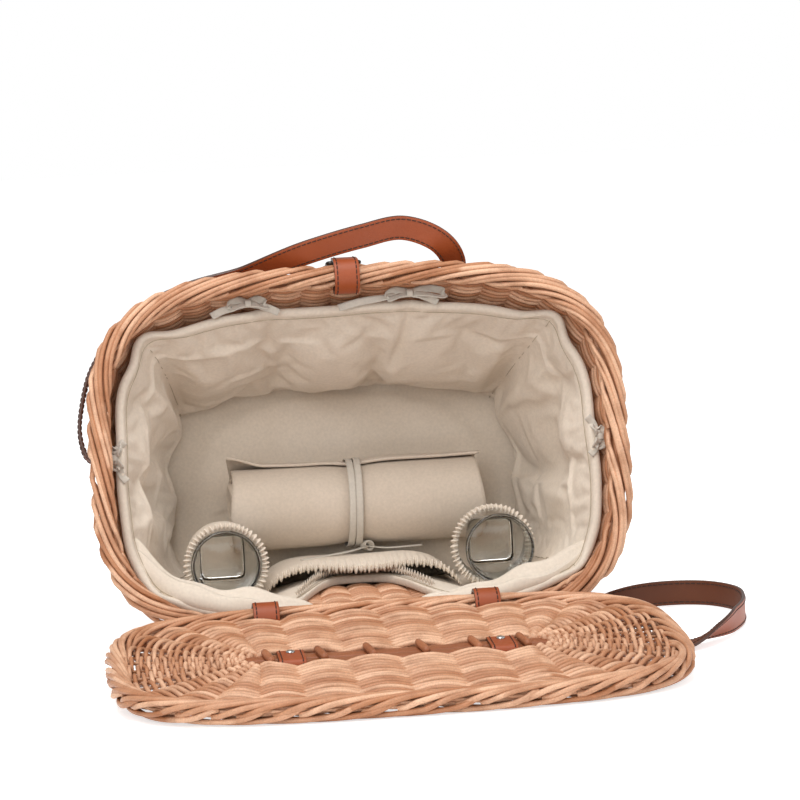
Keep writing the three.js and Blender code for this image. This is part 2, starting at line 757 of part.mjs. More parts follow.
function buckleRoller() {
  const length = BUCKLE_WIDTH - 4 * BUCKLE_WIRE_R - 2 * TURN_FIT;
  const bore = BUCKLE_WIRE_R * 1.35;
  const profile = [
    new THREE.Vector2(bore, -length / 2),
    new THREE.Vector2(ROLLER_R, -length / 2),
    new THREE.Vector2(ROLLER_R, length / 2),
    new THREE.Vector2(bore, length / 2),
    new THREE.Vector2(bore, -length / 2),
  ];
  return new THREE.LatheGeometry(profile, 14).rotateZ(Math.PI / 2);
}

// A domed rivet that stands on its flat face, pointing along +z.
function rivet() {
  const profile = [
    new THREE.Vector2(0, 0),
    new THREE.Vector2(RIVET_R, 0),
    new THREE.Vector2(RIVET_R * 0.92, RIVET_HEIGHT * 0.45),
    new THREE.Vector2(RIVET_R * 0.55, RIVET_HEIGHT * 0.88),
    new THREE.Vector2(0, RIVET_HEIGHT),
  ];
  return new THREE.LatheGeometry(profile, 14).rotateX(Math.PI / 2);
}

// A point on the outside of the wall, a distance out from its middle, found by x on the front or by y on the left.
function frontPoint(x, z, out) {
  const { halfX, halfY } = wallAt(z, out);
  return [x, edgeY(x, halfX, halfY), z];
}

function leftPoint(y, z, out) {
  const { halfX, halfY } = wallAt(z, out);
  return [-edgeY(y, halfY, halfX), y, z];
}

// The direction of the front wall at a place, level with the table it would stand on.
function frontAlong(x, z) {
  const [, before] = frontPoint(x - 1, z, WALL_HALF);
  const [, after] = frontPoint(x + 1, z, WALL_HALF);
  return [1, (after - before) / 2, 0];
}

const HANDLE_OUT = WALL_HALF + SOFT_FIT + HANDLE_THICK / 2;
const HANDLE_HOME_OUT = HANDLE_OUT + 0.15 * STRAP_WIDTH;
const HANDLE_RUN_Z = RIM_Z - 2 * STRAP_WIDTH;
const HANDLE_RUN_OUT = HANDLE_HOME_OUT + 0.45 * STRAP_WIDTH;

// The front handle springs from the wall on the right, arches over the rim, falls behind the left shoulder,
// turns back on itself there and comes home along the wall. Its route is drawn in strap widths.
function frontHandle() {
  const w = STRAP_WIDTH;
  const edge = [0, 0, 1];
  const right = frontAlong(HANDLE_X, HANDLE_LEAVE_Z);
  const left = frontAlong(-HANDLE_X, HANDLE_LEAVE_Z);
  const stops = [
    { at: frontPoint(HANDLE_X, HANDLE_FOOT_Z, HANDLE_OUT), side: right },
    { at: frontPoint(HANDLE_X, HANDLE_LEAVE_Z, HANDLE_OUT + 0.06 * w), side: right },
    { at: [HANDLE_X + 0.15 * w, RIM_HALF_Y + 0.6 * w, RIM_Z - 1.1 * w], side: [1, 0.1, 0] },
    { at: [HANDLE_X - 0.55 * w, RIM_HALF_Y + 1.3 * w, RIM_Z - 0.1 * w], side: [0.75, 0.5, 0.3] },
    { at: [HANDLE_X - 1.95 * w, RIM_HALF_Y + 1.8 * w, RIM_Z + 0.2 * w], side: [0.1, 0.85, 0.5] },
    { at: [HANDLE_X - 3.65 * w, RIM_HALF_Y + 1.5 * w, RIM_Z + 0.4 * w], side: [0, 0.85, 0.5] },
    { at: [HANDLE_X - 5.75 * w, RIM_HALF_Y + 1.05 * w, RIM_Z + 0.1 * w], side: [0, 0.8, 0.6] },
    { at: frontPoint(-0.39 * RIM_HALF_X, RIM_Z - 1.3 * w, HANDLE_RUN_OUT), side: [0, 0.5, 0.85] },
    { at: frontPoint(-0.63 * RIM_HALF_X, RIM_Z - 1.7 * w, HANDLE_RUN_OUT), side: [0, 0.25, 0.95] },
    { at: frontPoint(-0.84 * RIM_HALF_X, HANDLE_RUN_Z, HANDLE_RUN_OUT), side: edge },
    { at: leftPoint(0.6 * RIM_HALF_Y, HANDLE_RUN_Z, HANDLE_RUN_OUT), side: edge },
    { at: leftPoint(2.5 * w, HANDLE_RUN_Z, HANDLE_RUN_OUT + 0.2 * w), side: edge },
    { at: leftPoint(1.5 * w, HANDLE_RUN_Z, HANDLE_RUN_OUT + 0.25 * w), side: edge },
    { at: leftPoint(0.7 * w, HANDLE_RUN_Z, HANDLE_HOME_OUT + 0.5 * w), side: edge },
    { at: leftPoint(0.5 * w, HANDLE_RUN_Z, HANDLE_HOME_OUT + 0.25 * w), side: edge },
    { at: leftPoint(0.9 * w, HANDLE_RUN_Z, HANDLE_HOME_OUT + 0.05 * w), side: edge },
    { at: leftPoint(2.25 * w, HANDLE_RUN_Z, HANDLE_HOME_OUT), side: edge },
    { at: leftPoint(0.6 * RIM_HALF_Y, HANDLE_RUN_Z, HANDLE_HOME_OUT), side: edge },
    { at: frontPoint(-0.84 * RIM_HALF_X, HANDLE_RUN_Z, HANDLE_HOME_OUT), side: edge },
    { at: frontPoint(-0.68 * RIM_HALF_X, HANDLE_RUN_Z, HANDLE_HOME_OUT), side: [0.05, 0, 1] },
    { at: frontPoint(-HANDLE_X - 1.35 * w, HANDLE_RUN_Z - 0.25 * w, HANDLE_HOME_OUT), side: [0.4, 0, 0.9] },
    { at: frontPoint(-HANDLE_X - 0.35 * w, HANDLE_RUN_Z - 0.9 * w, HANDLE_OUT + 0.1 * w), side: [0.85, 0, 0.5] },
    { at: frontPoint(-HANDLE_X, HANDLE_LEAVE_Z - 1.25 * w, HANDLE_OUT + 0.03 * w), side: left },
    { at: frontPoint(-HANDLE_X, HANDLE_FOOT_Z, HANDLE_OUT), side: left },
  ];
  return strap(stops, STRAP_WIDTH, HANDLE_THICK, 3 * (stops.length - 1));
}

// The rear handle is caught under the basket. It comes out on the right, stands on edge round its loop
// and runs back under the lid. Its loose part is placed on the table.
function rearHandle(lay) {
  const w = STRAP_WIDTH;
  const onWall = (x, z) => {
    const [, y] = frontPoint(x, z, HANDLE_OUT);
    return new THREE.Vector3(x, -y, z).applyMatrix4(lay).toArray();
  };
  const alongWall = (x, sign) => {
    const [, slope] = frontAlong(x, HANDLE_LEAVE_Z);
    return new THREE.Vector3(sign, -sign * slope, 0).transformDirection(lay).toArray();
  };
  const low = HANDLE_THICK / 2 + FIT;
  const high = STRAP_WIDTH / 2 + 2 * FIT;
  const end = RIM_HALF_X;
  const edge = [0, 0, 1];
  const stops = [
    { at: onWall(HANDLE_X, HANDLE_FOOT_Z), side: alongWall(HANDLE_X, 1) },
    { at: onWall(HANDLE_X, HANDLE_LEAVE_Z - 0.6 * w), side: alongWall(HANDLE_X, 1) },
    { at: [HANDLE_X + 0.6 * w, 2 * w, low + 0.14 * w], side: [0.7, 0.7, 0] },
    { at: [HANDLE_X + 2 * w, 1.7 * w, low + 0.09 * w], side: [0, 1, 0] },
    { at: [end - 1.75 * w, 2.25 * w, low + 0.09 * w], side: [-0.2, 1, 0] },
    { at: [end, 3.1 * w, high - 0.1 * w], side: [-0.1, 0.65, 0.75] },
    { at: [end + 1.75 * w, 3.6 * w, high], side: edge },
    { at: [end + 3.5 * w, 3.2 * w, high], side: edge },
    { at: [end + 4.45 * w, 1.5 * w, high], side: edge },
    { at: [end + 4.25 * w, -w, high], side: edge },
    { at: [end + 3.35 * w, -3.3 * w, high], side: [0.1, -0.1, 1] },
    { at: [end + 2.15 * w, -4.9 * w, high - 0.1 * w], side: [0.5, -0.5, 0.6] },
    { at: [end + 0.85 * w, -5.9 * w, low + 0.08 * w], side: [0.6, -0.8, 0.05] },
    { at: [end - 1.25 * w, -6.2 * w, low], side: [-0.1, -1, 0] },
    { at: [HANDLE_X + 1.25 * w, -4.8 * w, low], side: [-0.4, -0.9, 0] },
    { at: [HANDLE_X - 2.25 * w, -2.9 * w, low], side: [-0.5, -0.85, 0] },
    { at: [HANDLE_X - 5 * w, -1.1 * w, low], side: [-0.6, -0.8, 0] },
    { at: [-HANDLE_X + 1.85 * w, 0.4 * w, low], side: [-0.7, -0.7, 0] },
    { at: [-HANDLE_X + 0.75 * w, 1.7 * w, low + 0.05 * w], side: [-0.85, -0.5, 0] },
    { at: onWall(-HANDLE_X, HANDLE_LEAVE_Z - 0.6 * w), side: alongWall(-HANDLE_X, -1) },
    { at: onWall(-HANDLE_X, HANDLE_FOOT_Z), side: alongWall(-HANDLE_X, -1) },
  ];
  return strap(stops, STRAP_WIDTH, HANDLE_THICK, 3 * (stops.length - 1));
}

// The lid, drawn closed from its axis: y runs to its front, z to its outer face

const LID_MIDDLE_Y = LID_FORWARD / 2 - LID_AXIS_Y;
const LATH_LOW = LID_HALF_THICK - LATH_THICK;
const TAB_HALF = CORE_HALF_WIDTH - FIT + TURN_FIT + STRAP_THICK;
const TAB_LOW = LATH_LOW - TURN_FIT - STRAP_THICK;
const TAB_HIGH = LID_HALF_THICK + TURN_FIT + STRAP_THICK;

// How far the oval's edge is from a place on its long axis, in a direction.
function ovalReach(fromX, angle, halfX, halfY) {
  let near = 0;
  let far = halfX + halfY;
  for (let i = 0; i < 50; i++) {
    const reach = (near + far) / 2;
    const x = Math.abs((fromX + reach * Math.cos(angle)) / halfX);
    const y = Math.abs((reach * Math.sin(angle)) / halfY);
    if (x ** OVAL_POWER + y ** OVAL_POWER < 1) near = reach;
    else far = reach;
  }
  return near;
}

// Half of the way round the lid's panel: along one side's cross sticks, then round the fan of sticks at one end.
// The weave stands proud over each stick and dips between two of them.
function halfWeave(halfX, halfY) {
  const fanX = (RUNG_COUNT * RUNG_PITCH) / 2 - CORE_HALF_WIDTH;
  const spokes = [];
  for (let k = 0; k < 2 * RUNG_COUNT - 1; k++) {
    const x = ((RUNG_COUNT - 1 - k) * RUNG_PITCH) / 2;
    spokes.push({ x, angle: Math.PI / 2, proud: k % 2 === 0, reach: edgeY(x, halfX, halfY) });
  }
  for (let k = 0; k < 2 * FAN_STICKS + 1; k++) {
    const angle = Math.PI / 2 + ((k + 1) / (2 * FAN_STICKS + 2)) * Math.PI;
    spokes.push({ x: -fanX, angle, proud: k % 2 === 1, reach: ovalReach(-fanX, angle, halfX, halfY) });
  }
  return spokes;
}

function lidPanel() {
  const inset = LID_BORDER_R + FIT;
  const half = halfWeave(RIM_HALF_X - inset, LID_HALF_Y - inset);
  const spokes = [...half, ...half.map((spoke) => ({ ...spoke, x: -spoke.x, angle: spoke.angle + Math.PI }))];
  const ringAt = (reachOf, face) =>
    spokes.map((spoke) => {
      const reach = reachOf(spoke);
      const x = spoke.x + reach * Math.cos(spoke.angle);
      const y = reach * Math.sin(spoke.angle) + LID_MIDDLE_Y;
      return new THREE.Vector3(x, y, face * LID_HALF_THICK * (spoke.proud ? 1 : WEAVE_DIP));
    });
  const core = () => CORE_HALF_WIDTH / 2;
  const edge = (spoke) => spoke.reach;
  const rings = [ringAt(core, -1), ringAt(edge, -1), ringAt(edge, 1), ringAt(core, 1)];
  const through = 4 * LID_HALF_THICK;
  const gapWidth = STRAP_WIDTH + 4 * FIT;
  const loopReach = 2 * (LID_LOOP_INNER_R + STRAP_THICK + 2 * FIT);
  const cutters = [box(2 * CORE_HALF_LENGTH, 2 * CORE_HALF_WIDTH, through, 0, LID_MIDDLE_Y, 0)];
  for (const sign of [-1, 1]) {
    cutters.push(box(gapWidth, 2 * (TAB_HALF + FIT), through, sign * TAB_X, LID_MIDDLE_Y, 0));
    cutters.push(box(gapWidth, loopReach, through, sign * HINGE_X, 0, 0));
  }
  return cut(loft(rings, true), cutters);
}

function lath(sign) {
  const width = CORE_HALF_WIDTH - 1.5 * FIT;
  const y = LID_MIDDLE_Y + (sign * (CORE_HALF_WIDTH - FIT / 2)) / 2;
  return box(2 * (CORE_HALF_LENGTH - FIT), width, LATH_THICK, 0, y, LATH_LOW + LATH_THICK / 2);
}

function lidTab(sign) {
  const page = (Kind, half, low, high) => {
    const path = new Kind();
    path.moveTo(LID_MIDDLE_Y - half, low);
    path.lineTo(LID_MIDDLE_Y + half, low);
    path.lineTo(LID_MIDDLE_Y + half, high);
    path.lineTo(LID_MIDDLE_Y - half, high);
    path.closePath();
    return path;
  };
  const outline = page(THREE.Shape, TAB_HALF, TAB_LOW, TAB_HIGH);
  outline.holes.push(page(THREE.Path, TAB_HALF - STRAP_THICK, TAB_LOW + STRAP_THICK, TAB_HIGH - STRAP_THICK));
  return alongX(outline, sign * TAB_X, STRAP_WIDTH);
}

function lidStrap(sign) {
  const z = LID_HALF_THICK + FIT + STRAP_THICK / 2;
  const near = LID_LOOP_INNER_R + 2 * STRAP_THICK;
  const far = LID_MIDDLE_Y - TAB_HALF - 4 * FIT;
  const stops = [
    { at: [sign * HINGE_X, near, z], side: [1, 0, 0] },
    { at: [sign * TAB_X, far, z], side: [1, 0, 0] },
  ];
  return strap(stops, STRAP_WIDTH - 2, STRAP_THICK, 2);
}

// Assembly

const root = new THREE.Group();
const basket = new THREE.Group();
basket.rotation.x = Math.PI / 2 - LEAN;
basket.position.y = RIM_Z * Math.cos(LEAN) - HINGE_Y * Math.sin(LEAN);
basket.position.z = FOOT_R + BASE_HALF_Y * Math.cos(LEAN) - FOOT_Z * Math.sin(LEAN);
basket.updateMatrix();
root.add(basket);

put(basket, "base_panel", basePanel(), "willow");
put(basket, "foot_border", footRing(), "willow");
put(basket, "side_wall", sideWall(), "willow");
put(basket, "rim_border", ropedRing(RIM_HALF_X, RIM_HALF_Y, BORDER_R), "willow").position.z = RIM_Z;
put(basket, "lining", lining(), "lining");
put(basket, "wide_pocket", widePocket(), "lining");
for (const [name, sign] of [
  ["left", -1],
  ["right", 1],
]) {
  const place = glassPlace(sign);
  basket.add(place);
  put(place, `sleeve_${name}`, glassPocket(), "lining");
  put(place, `tumbler_${name}`, tumbler(), "glass");
}

// Four tape bows lie on the hem of the lining.
const tieZ = LINING_TOP + SOFT_FIT;
const tieIn = LINING_IN + SOFT_FIT;
const ties = [
  ["tie_front_left", -80, 1, 0],
  ["tie_front_right", 50, 1, 0],
  ["tie_left", 7, 0, -1],
  ["tie_right", 1, 0, 1],
];
for (const [name, along, front, end] of ties) {
  const { halfX, halfY } = wallAt(tieZ, -tieIn);
  const tie = put(basket, name, bow(), "ribbon");
  const x = front ? along : end * edgeY(along, halfY, halfX);
  const y = front ? edgeY(along, halfX, halfY) : along;
  tie.position.set(x, y, tieZ);
  tie.rotation.z = end ? Math.PI / 2 : 0;
}

const roll = new THREE.Group();
roll.position.set(ROLL_X, ROLL_Y, ROLL_Z);
basket.add(roll);
put(roll, "cloth_roll", clothRoll(), "lining");
put(roll, "roll_ribbon", rollRibbon(), "ribbon");

put(basket, "hinge_loop_left", hingeLoop(-1), "leather");
put(basket, "hinge_loop_right", hingeLoop(1), "leather");
put(basket, "closing_strap", closingStrap(), "leather");
const buckle = new THREE.Group();
buckle.position.set(CLOSER_X, BAR_Y, BAR_Z);
basket.add(buckle);
put(buckle, "buckle_frame", buckleFrame(), "gunmetal");
put(buckle, "buckle_prong", buckleProng(), "gunmetal");
put(buckle, "buckle_roller", buckleRoller(), "gunmetal").position.z = -BUCKLE_LENGTH + 2 * BUCKLE_WIRE_R;

put(basket, "front_handle", frontHandle(), "leather");
put(root, "rear_handle", rearHandle(basket.matrix), "leather");
const flare = Math.atan2(RIM_HALF_Y - BASE_HALF_Y, RIM_Z - FOOT_Z);
const rivetZ = HANDLE_FOOT_Z + STRAP_WIDTH / 2;
for (const [name, sign, face] of [
  ["front_rivet_left", -1, 1],
  ["front_rivet_right", 1, 1],
  ["rear_rivet_left", -1, -1],
  ["rear_rivet_right", 1, -1],
]) {
  const [x, y, z] = frontPoint(sign * HANDLE_X, rivetZ, HANDLE_OUT + HANDLE_THICK / 2 + 2 * FIT);
  const head = put(basket, name, rivet(), "chrome");
  head.position.set(x, face * y, z);
  head.rotation.x = -face * (Math.PI / 2 + flare);
}

const lid = new THREE.Group();
lid.position.set(0, LID_AXIS_Y, LID_Z);
lid.rotation.x = LID_OPEN;
basket.add(lid);
put(lid, "lid_border", ropedRing(RIM_HALF_X, LID_HALF_Y, LID_BORDER_R), "willow").position.y = LID_MIDDLE_Y;
put(lid, "lid_panel", lidPanel(), "willow");
put(lid, "lid_lath_near", lath(-1), "willowCore");
put(lid, "lid_lath_far", lath(1), "willowCore");
for (let i = 0; i < RUNG_COUNT; i++) {
  const rung = put(lid, `lid_rung_${i + 1}`, rod(RUNG_R, 2 * (CORE_HALF_WIDTH - FIT), 10), "willowCore");
  rung.position.set((i - (RUNG_COUNT - 1) / 2) * RUNG_PITCH, LID_MIDDLE_Y, LATH_LOW - FIT - RUNG_R);
}
for (const [name, sign] of [
  ["left", -1],
  ["right", 1],
]) {
  put(lid, `lid_tab_${name}`, lidTab(sign), "leather");
  put(lid, `lid_strap_${name}`, lidStrap(sign), "leather");
  const head = put(lid, `tab_rivet_${name}`, rivet(), "chrome");
  head.position.set(sign * TAB_X, LID_MIDDLE_Y - CORE_HALF_WIDTH / 2, TAB_LOW - FIT);
  head.rotation.x = Math.PI;
}

// The origin is the middle of the underside of the whole object as it lies.
root.updateMatrixWorld(true);
const extent = new THREE.Box3().setFromObject(root, true);
const centre = extent.getCenter(new THREE.Vector3());
for (const child of root.children) child.position.sub(new THREE.Vector3(centre.x, centre.y, extent.min.z));

export default root;
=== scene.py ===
# %% [markdown]
# # A willow picnic basket laid open on a table
# The CAD frame holds every rigid piece in its place. This lesson dresses it: real rods for the
# wickerwork, soft cloth for the lining, stitched leather, clear glass. Every piece is drawn in the
# basket's own millimetres and then carried into the frame, so that nothing has to be fitted by eye.

# %% Load the frame
import json
import math

import bmesh
import bpy
import numpy as np
from mathutils import Matrix, Vector


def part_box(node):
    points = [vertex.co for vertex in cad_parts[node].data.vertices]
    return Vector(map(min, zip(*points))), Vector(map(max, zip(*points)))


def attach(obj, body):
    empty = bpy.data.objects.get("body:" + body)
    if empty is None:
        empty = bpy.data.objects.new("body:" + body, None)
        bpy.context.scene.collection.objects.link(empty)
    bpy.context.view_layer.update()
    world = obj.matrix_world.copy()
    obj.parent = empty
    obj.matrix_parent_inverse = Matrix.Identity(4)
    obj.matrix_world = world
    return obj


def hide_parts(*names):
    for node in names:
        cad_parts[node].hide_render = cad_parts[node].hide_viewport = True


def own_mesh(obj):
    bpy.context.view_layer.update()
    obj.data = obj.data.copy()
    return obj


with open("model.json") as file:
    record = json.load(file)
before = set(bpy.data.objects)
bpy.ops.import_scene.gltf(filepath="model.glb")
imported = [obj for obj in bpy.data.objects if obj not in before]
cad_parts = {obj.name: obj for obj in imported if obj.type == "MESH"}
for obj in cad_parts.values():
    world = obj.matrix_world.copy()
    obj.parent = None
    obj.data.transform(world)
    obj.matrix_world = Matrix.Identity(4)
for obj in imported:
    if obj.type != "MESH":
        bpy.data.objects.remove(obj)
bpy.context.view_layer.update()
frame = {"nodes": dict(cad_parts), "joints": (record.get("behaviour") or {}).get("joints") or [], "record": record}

MM = 0.001
chance = np.random.default_rng(11)
print("CAD nodes:", len(frame["nodes"]))

# %% [markdown]
# ## The basket's own axes
# The basket is easiest to think of standing on its base: x along the hinge, y from the hinge side to
# the front, z up to the rim. The frame's foot mount says how far it leans as it lies, and the lid's
# joint says where its hinge is, so the two drawings stay tied together.

# %% Sizes shared with the CAD source, in millimetres
OVAL_POWER = 3.6
RIM_HALF_X, RIM_HALF_Y, RIM_Z = 205, 140, 200
BASE_HALF_X, BASE_HALF_Y = 163, 94
FOOT_Z = 5
BORDER_R, LID_BORDER_R, FOOT_R = 10, 9, 5
LOOP_INNER_R, LEATHER = 11.4, 2.8
LOOP_OUTER_R = LOOP_INNER_R + LEATHER
LID_LOOP_R = LID_BORDER_R + 1.4
LID_FORWARD = 7
LID_HALF_Y = RIM_HALF_Y - LID_FORWARD / 2
LID_Z = RIM_Z + LOOP_OUTER_R + 0.4 + LID_BORDER_R
HINGE_X, TAB_X, HANDLE_X, CLOSER_X = 86, 78, 85, -2


def oval(angle, half_x, half_y, power=OVAL_POWER):
    """Points of the rounded oval that the whole basket follows."""
    c, s = np.cos(angle), np.sin(angle)
    x = half_x * np.sign(c) * np.abs(c) ** (2 / power)
    y = half_y * np.sign(s) * np.abs(s) ** (2 / power)
    return x, y


def edge(along, half_along, half_across):
    """How far the oval reaches across at a distance along it."""
    return half_across * (1 - np.abs(along / half_along) ** OVAL_POWER) ** (1 / OVAL_POWER)


def even_angles(half_x, half_y, count):
    """Angles that space points evenly along the oval's edge."""
    fine = np.linspace(0, 2 * np.pi, 2881)
    x, y = oval(fine, half_x, half_y)
    run = np.concatenate([[0], np.cumsum(np.hypot(np.diff(x), np.diff(y)))])
    return np.interp(np.arange(count) / count * run[-1], run, fine)


def wall_half(z, offset=0):
    """Half sizes of the flared wall's middle at a height."""
    part = (z - FOOT_Z) / (RIM_Z - FOOT_Z)
    half_x = BASE_HALF_X + (RIM_HALF_X - BASE_HALF_X) * part + offset
    half_y = BASE_HALF_Y + (RIM_HALF_Y - BASE_HALF_Y) * part + offset
    return half_x, half_y


# %% Axes of the basket and of its lid, as they lie in the frame
joints = {joint["name"]: joint for joint in frame["joints"]}
hinge = np.array(joints["lid_hinge"]["pos_m"]) / MM
foot_axis = frame["record"]["mounts"][0]["axis"]
LEAN = math.asin(-foot_axis[2])
LID_AXIS_Y = LID_FORWARD / 2 - edge(HINGE_X, RIM_HALF_X, LID_HALF_Y)
LID_MIDDLE_Y = LID_FORWARD / 2 - LID_AXIS_Y
LID_PITCH = math.asin((hinge[2] - LID_BORDER_R) / (RIM_HALF_Y - LID_AXIS_Y))


def axes_of(turn, origin):
    """A drawing's axes, turned about x and set at a place in the frame."""
    axes = np.eye(4)
    axes[1:3, 1:3] = [[math.cos(turn), -math.sin(turn)], [math.sin(turn), math.cos(turn)]]
    axes[:3, 3] = origin
    return axes


def placed(points, axes):
    """Carries points from a drawing's axes into the frame, still in millimetres."""
    return np.asarray(points, float) @ axes[:3, :3].T + axes[:3, 3]


laid = axes_of(math.pi / 2 - LEAN, (0, 0, 0))
BASKET = axes_of(math.pi / 2 - LEAN, hinge - placed((0, LID_AXIS_Y, LID_Z), laid))
LID = axes_of(math.pi + LID_PITCH, hinge)
FRAME = np.eye(4)
print("basket origin, mm:", np.round(BASKET[:3, 3], 2), "lean", round(math.degrees(LEAN), 2))

# %% [markdown]
# ## Helpers for making pieces
# Rods are bevelled curves: hundreds of splines in one curve object, made a mesh in one go. Cloth and
# straps start as a flat bmesh grid that is then bent into place, as a cutter and a sewer would do it.

# %% Rods, bent sheets and finished pieces


def run_along(points):
    """The distance along a line of points, from its start to each of them."""
    return np.concatenate([[0], np.cumsum(np.linalg.norm(np.diff(points, axis=0), axis=1))])


def link(name, data):
    made = bpy.data.objects.new(name, data)
    bpy.context.scene.collection.objects.link(made)
    return made


def finish_piece(name, mesh, finish, body, slot, *nodes):
    """A mesh becomes a piece that rides on a body and stands for CAD nodes."""
    made = link(name, mesh)
    mesh.materials.clear()
    for each in finish if isinstance(finish, list) else [finish]:
        mesh.materials.append(each)
    mesh.shade_smooth()
    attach(made, body)
    if nodes:
        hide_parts(*nodes)
    return made


def mesh_of_curve(name, curve):
    """A curve made a mesh, by way of an object that is removed again."""
    maker = link(name + "_maker", curve)
    bpy.context.view_layer.update()
    mesh = bpy.data.meshes.new_from_object(maker.evaluated_get(bpy.context.evaluated_depsgraph_get()))
    bpy.data.objects.remove(maker)
    return mesh


def mesh_of_bmesh(name, bm):
    mesh = bpy.data.meshes.new(name)
    bm.to_mesh(mesh)
    bm.free()
    return mesh


def thicken(made, thickness):
    """Gives a sheet its thickness, in mm, half of it to each side."""
    solid = made.modifiers.new("thick", "SOLIDIFY")
    solid.thickness = thickness * MM
    solid.offset = 0
    return solid


def rod_mesh(name, paths, axes, resolution=1):
    """One mesh of many round rods. A path is points in mm, radius in mm, and whether it closes.
    The rod attribute keeps each rod's own tint and the distance along it in metres."""
    curve = bpy.data.curves.new(name, "CURVE")
    curve.dimensions = "3D"
    curve.bevel_depth = MM
    curve.bevel_resolution = resolution
    curve.use_fill_caps = True
    marks = []
    for points, radius, closed in paths:
        count = len(points)
        there = placed(points, axes) * MM
        spline = curve.splines.new("POLY")
        spline.points.add(count - 1)
        spline.points.foreach_set("co", np.column_stack([there, np.ones(count)]).ravel())
        spline.points.foreach_set("radius", np.broadcast_to(radius, count).astype(float))
        spline.use_cyclic_u = closed
        along = run_along(there)
        if not closed:
            along = np.concatenate([along[[0, -1]], along])
        marks.append(np.column_stack([np.full(len(along), chance.random()), along]))
    mesh = mesh_of_curve(name, curve)
    marks = np.repeat(np.concatenate(marks), 2 * resolution + 4, axis=0)
    attribute = mesh.attributes.new("rod", "FLOAT2", "POINT")
    attribute.data.foreach_set("vector", marks.ravel())
    # The curve's end caps are loose faces, so they are welded to their rods and marked as cut wood.
    bm = bmesh.new()
    bm.from_mesh(mesh)
    bmesh.ops.remove_doubles(bm, verts=bm.verts, dist=1e-6)
    for face in bm.faces:
        face.material_index = int(len(face.verts) > 4)
    bm.to_mesh(mesh)
    bm.free()
    mesh.name = name
    print(name, "rods", len(paths), "faces", len(mesh.polygons))
    return mesh


def bent_sheet(name, columns, rows, bend, axes=FRAME, merge=0.0):
    """A flat grid bent into a form. bend takes u and v from 0 to 1 and gives points in mm."""
    bm = bmesh.new()
    bm.loops.layers.uv.new("UVMap")
    bmesh.ops.create_grid(bm, x_segments=columns, y_segments=rows, size=1, calc_uvs=True)
    flat = np.array([v.co[:2] for v in bm.verts]) / 2 + 0.5
    there = placed(bend(flat[:, 0], flat[:, 1]), axes) * MM
    for vertex, co in zip(bm.verts, there):
        vertex.co = co
    if merge:
        bmesh.ops.remove_doubles(bm, verts=bm.verts, dist=merge * MM)
        bmesh.ops.recalc_face_normals(bm, faces=bm.faces)
    return mesh_of_bmesh(name, bm)


def smooth_step(x, low, high):
    t = np.clip((np.asarray(x, float) - low) / (high - low), 0, 1)
    return t * t * (3 - 2 * t)


# %% Colours and nodes


def linear(hex_colour):
    """An sRGB hex colour as the linear values that Blender's sockets take."""
    channels = [int(hex_colour[i : i + 2], 16) / 255 for i in (1, 3, 5)]
    return [c / 12.92 if c <= 0.04045 else ((c + 0.055) / 1.055) ** 2.4 for c in channels] + [1]


def add(tree, kind, inputs=None, **settings):
    """Adds a node. An input takes a value, or the output socket that it is linked to."""
    made = tree.nodes.new("ShaderNode" + kind)
    for name, value in settings.items():
        setattr(made, name, value)
    for name, value in (inputs or {}).items():
        if isinstance(value, bpy.types.NodeSocket):
            tree.links.new(value, made.inputs[name])
        else:
            made.inputs[name].default_value = value
    return made


def new_finish(name):
    material = bpy.data.materials.new(name)
    material.use_nodes = True
    tree = material.node_tree
    return material, tree, tree.nodes["Principled BSDF"]


# %% [markdown]
# ## Willow
# Buff willow is boiled in its bark and then peeled, which dyes it salmon to tan. No two rods match,
# each changes along its length, and the cut ends show pale wood. The rod attribute that the curves
# carry gives each rod its own tone, so neighbouring rods differ as they do on a real basket; noise
# makes the changes along a rod, and the cut ends have a finish of their own.

# %% Buff willow, boiled and peeled


def willow_finish(name, pale, deep, stain):
    material, tree, shader = new_finish(name)
    rod = add(tree, "Attribute", attribute_name="rod")
    mark = add(tree, "SeparateXYZ", {"Vector": rod.outputs["Vector"]})
    tone = add(tree, "Mix", {0: mark.outputs["X"], 6: linear(deep), 7: linear(pale)}, data_type="RGBA")
    place = add(tree, "TexCoord")
    # Patches about 20 mm long, and a fine grain about 1 mm wide.
    patches = add(tree, "TexNoise", {"Vector": place.outputs["Object"], "Scale": 50, "Detail": 3})
    patch = add(tree, "MapRange", {0: patches.outputs[0], 1: 0.45, 2: 0.75, 3: 0, 4: 0.6})
    stained = add(tree, "Mix", {0: patch.outputs[0], 6: tone.outputs[2], 7: linear(stain)}, data_type="RGBA")
    grain = add(tree, "TexNoise", {"Vector": place.outputs["Object"], "Scale": 900, "Detail": 4})
    fleck = add(tree, "MapRange", {0: grain.outputs[0], 1: 0.3, 2: 0.8, 3: 0.78, 4: 1.12})
    flecked = add(
        tree,
        "Mix",
        {0: 1.0, 6: stained.outputs[2], 7: fleck.outputs[0]},
        data_type="RGBA",
        blend_type="MULTIPLY",
    )
    tree.links.new(flecked.outputs[2], shader.inputs["Base Color"])
    sheen = add(tree, "MapRange", {0: patches.outputs[0], 3: 0.38, 4: 0.62})
    tree.links.new(sheen.outputs[0], shader.inputs["Roughness"])
    bump = add(tree, "Bump", {"Strength": 0.25, "Distance": 0.0004, "Height": grain.outputs[0]})
    tree.links.new(bump.outputs["Normal"], shader.inputs["Normal"])
    return material


WILLOW = [
    willow_finish("buff willow, boiled and peeled", "#ecbd9a", "#b97c54", "#96582f"),
    willow_finish("willow, cut across", "#f4e2c6", "#e6c9a0", "#c99a6a"),
]
print("finishes:", [finish.name for finish in WILLOW])

# %% [markdown]
# ## The side wall
# Rods are woven in and out of upright stakes, each row the other way round from the one below it.
# One sine along the row, turned over on the next, gives that weave, and a heavier band closes the
# wall at the foot. Where leather passes through, the rows are pressed down.

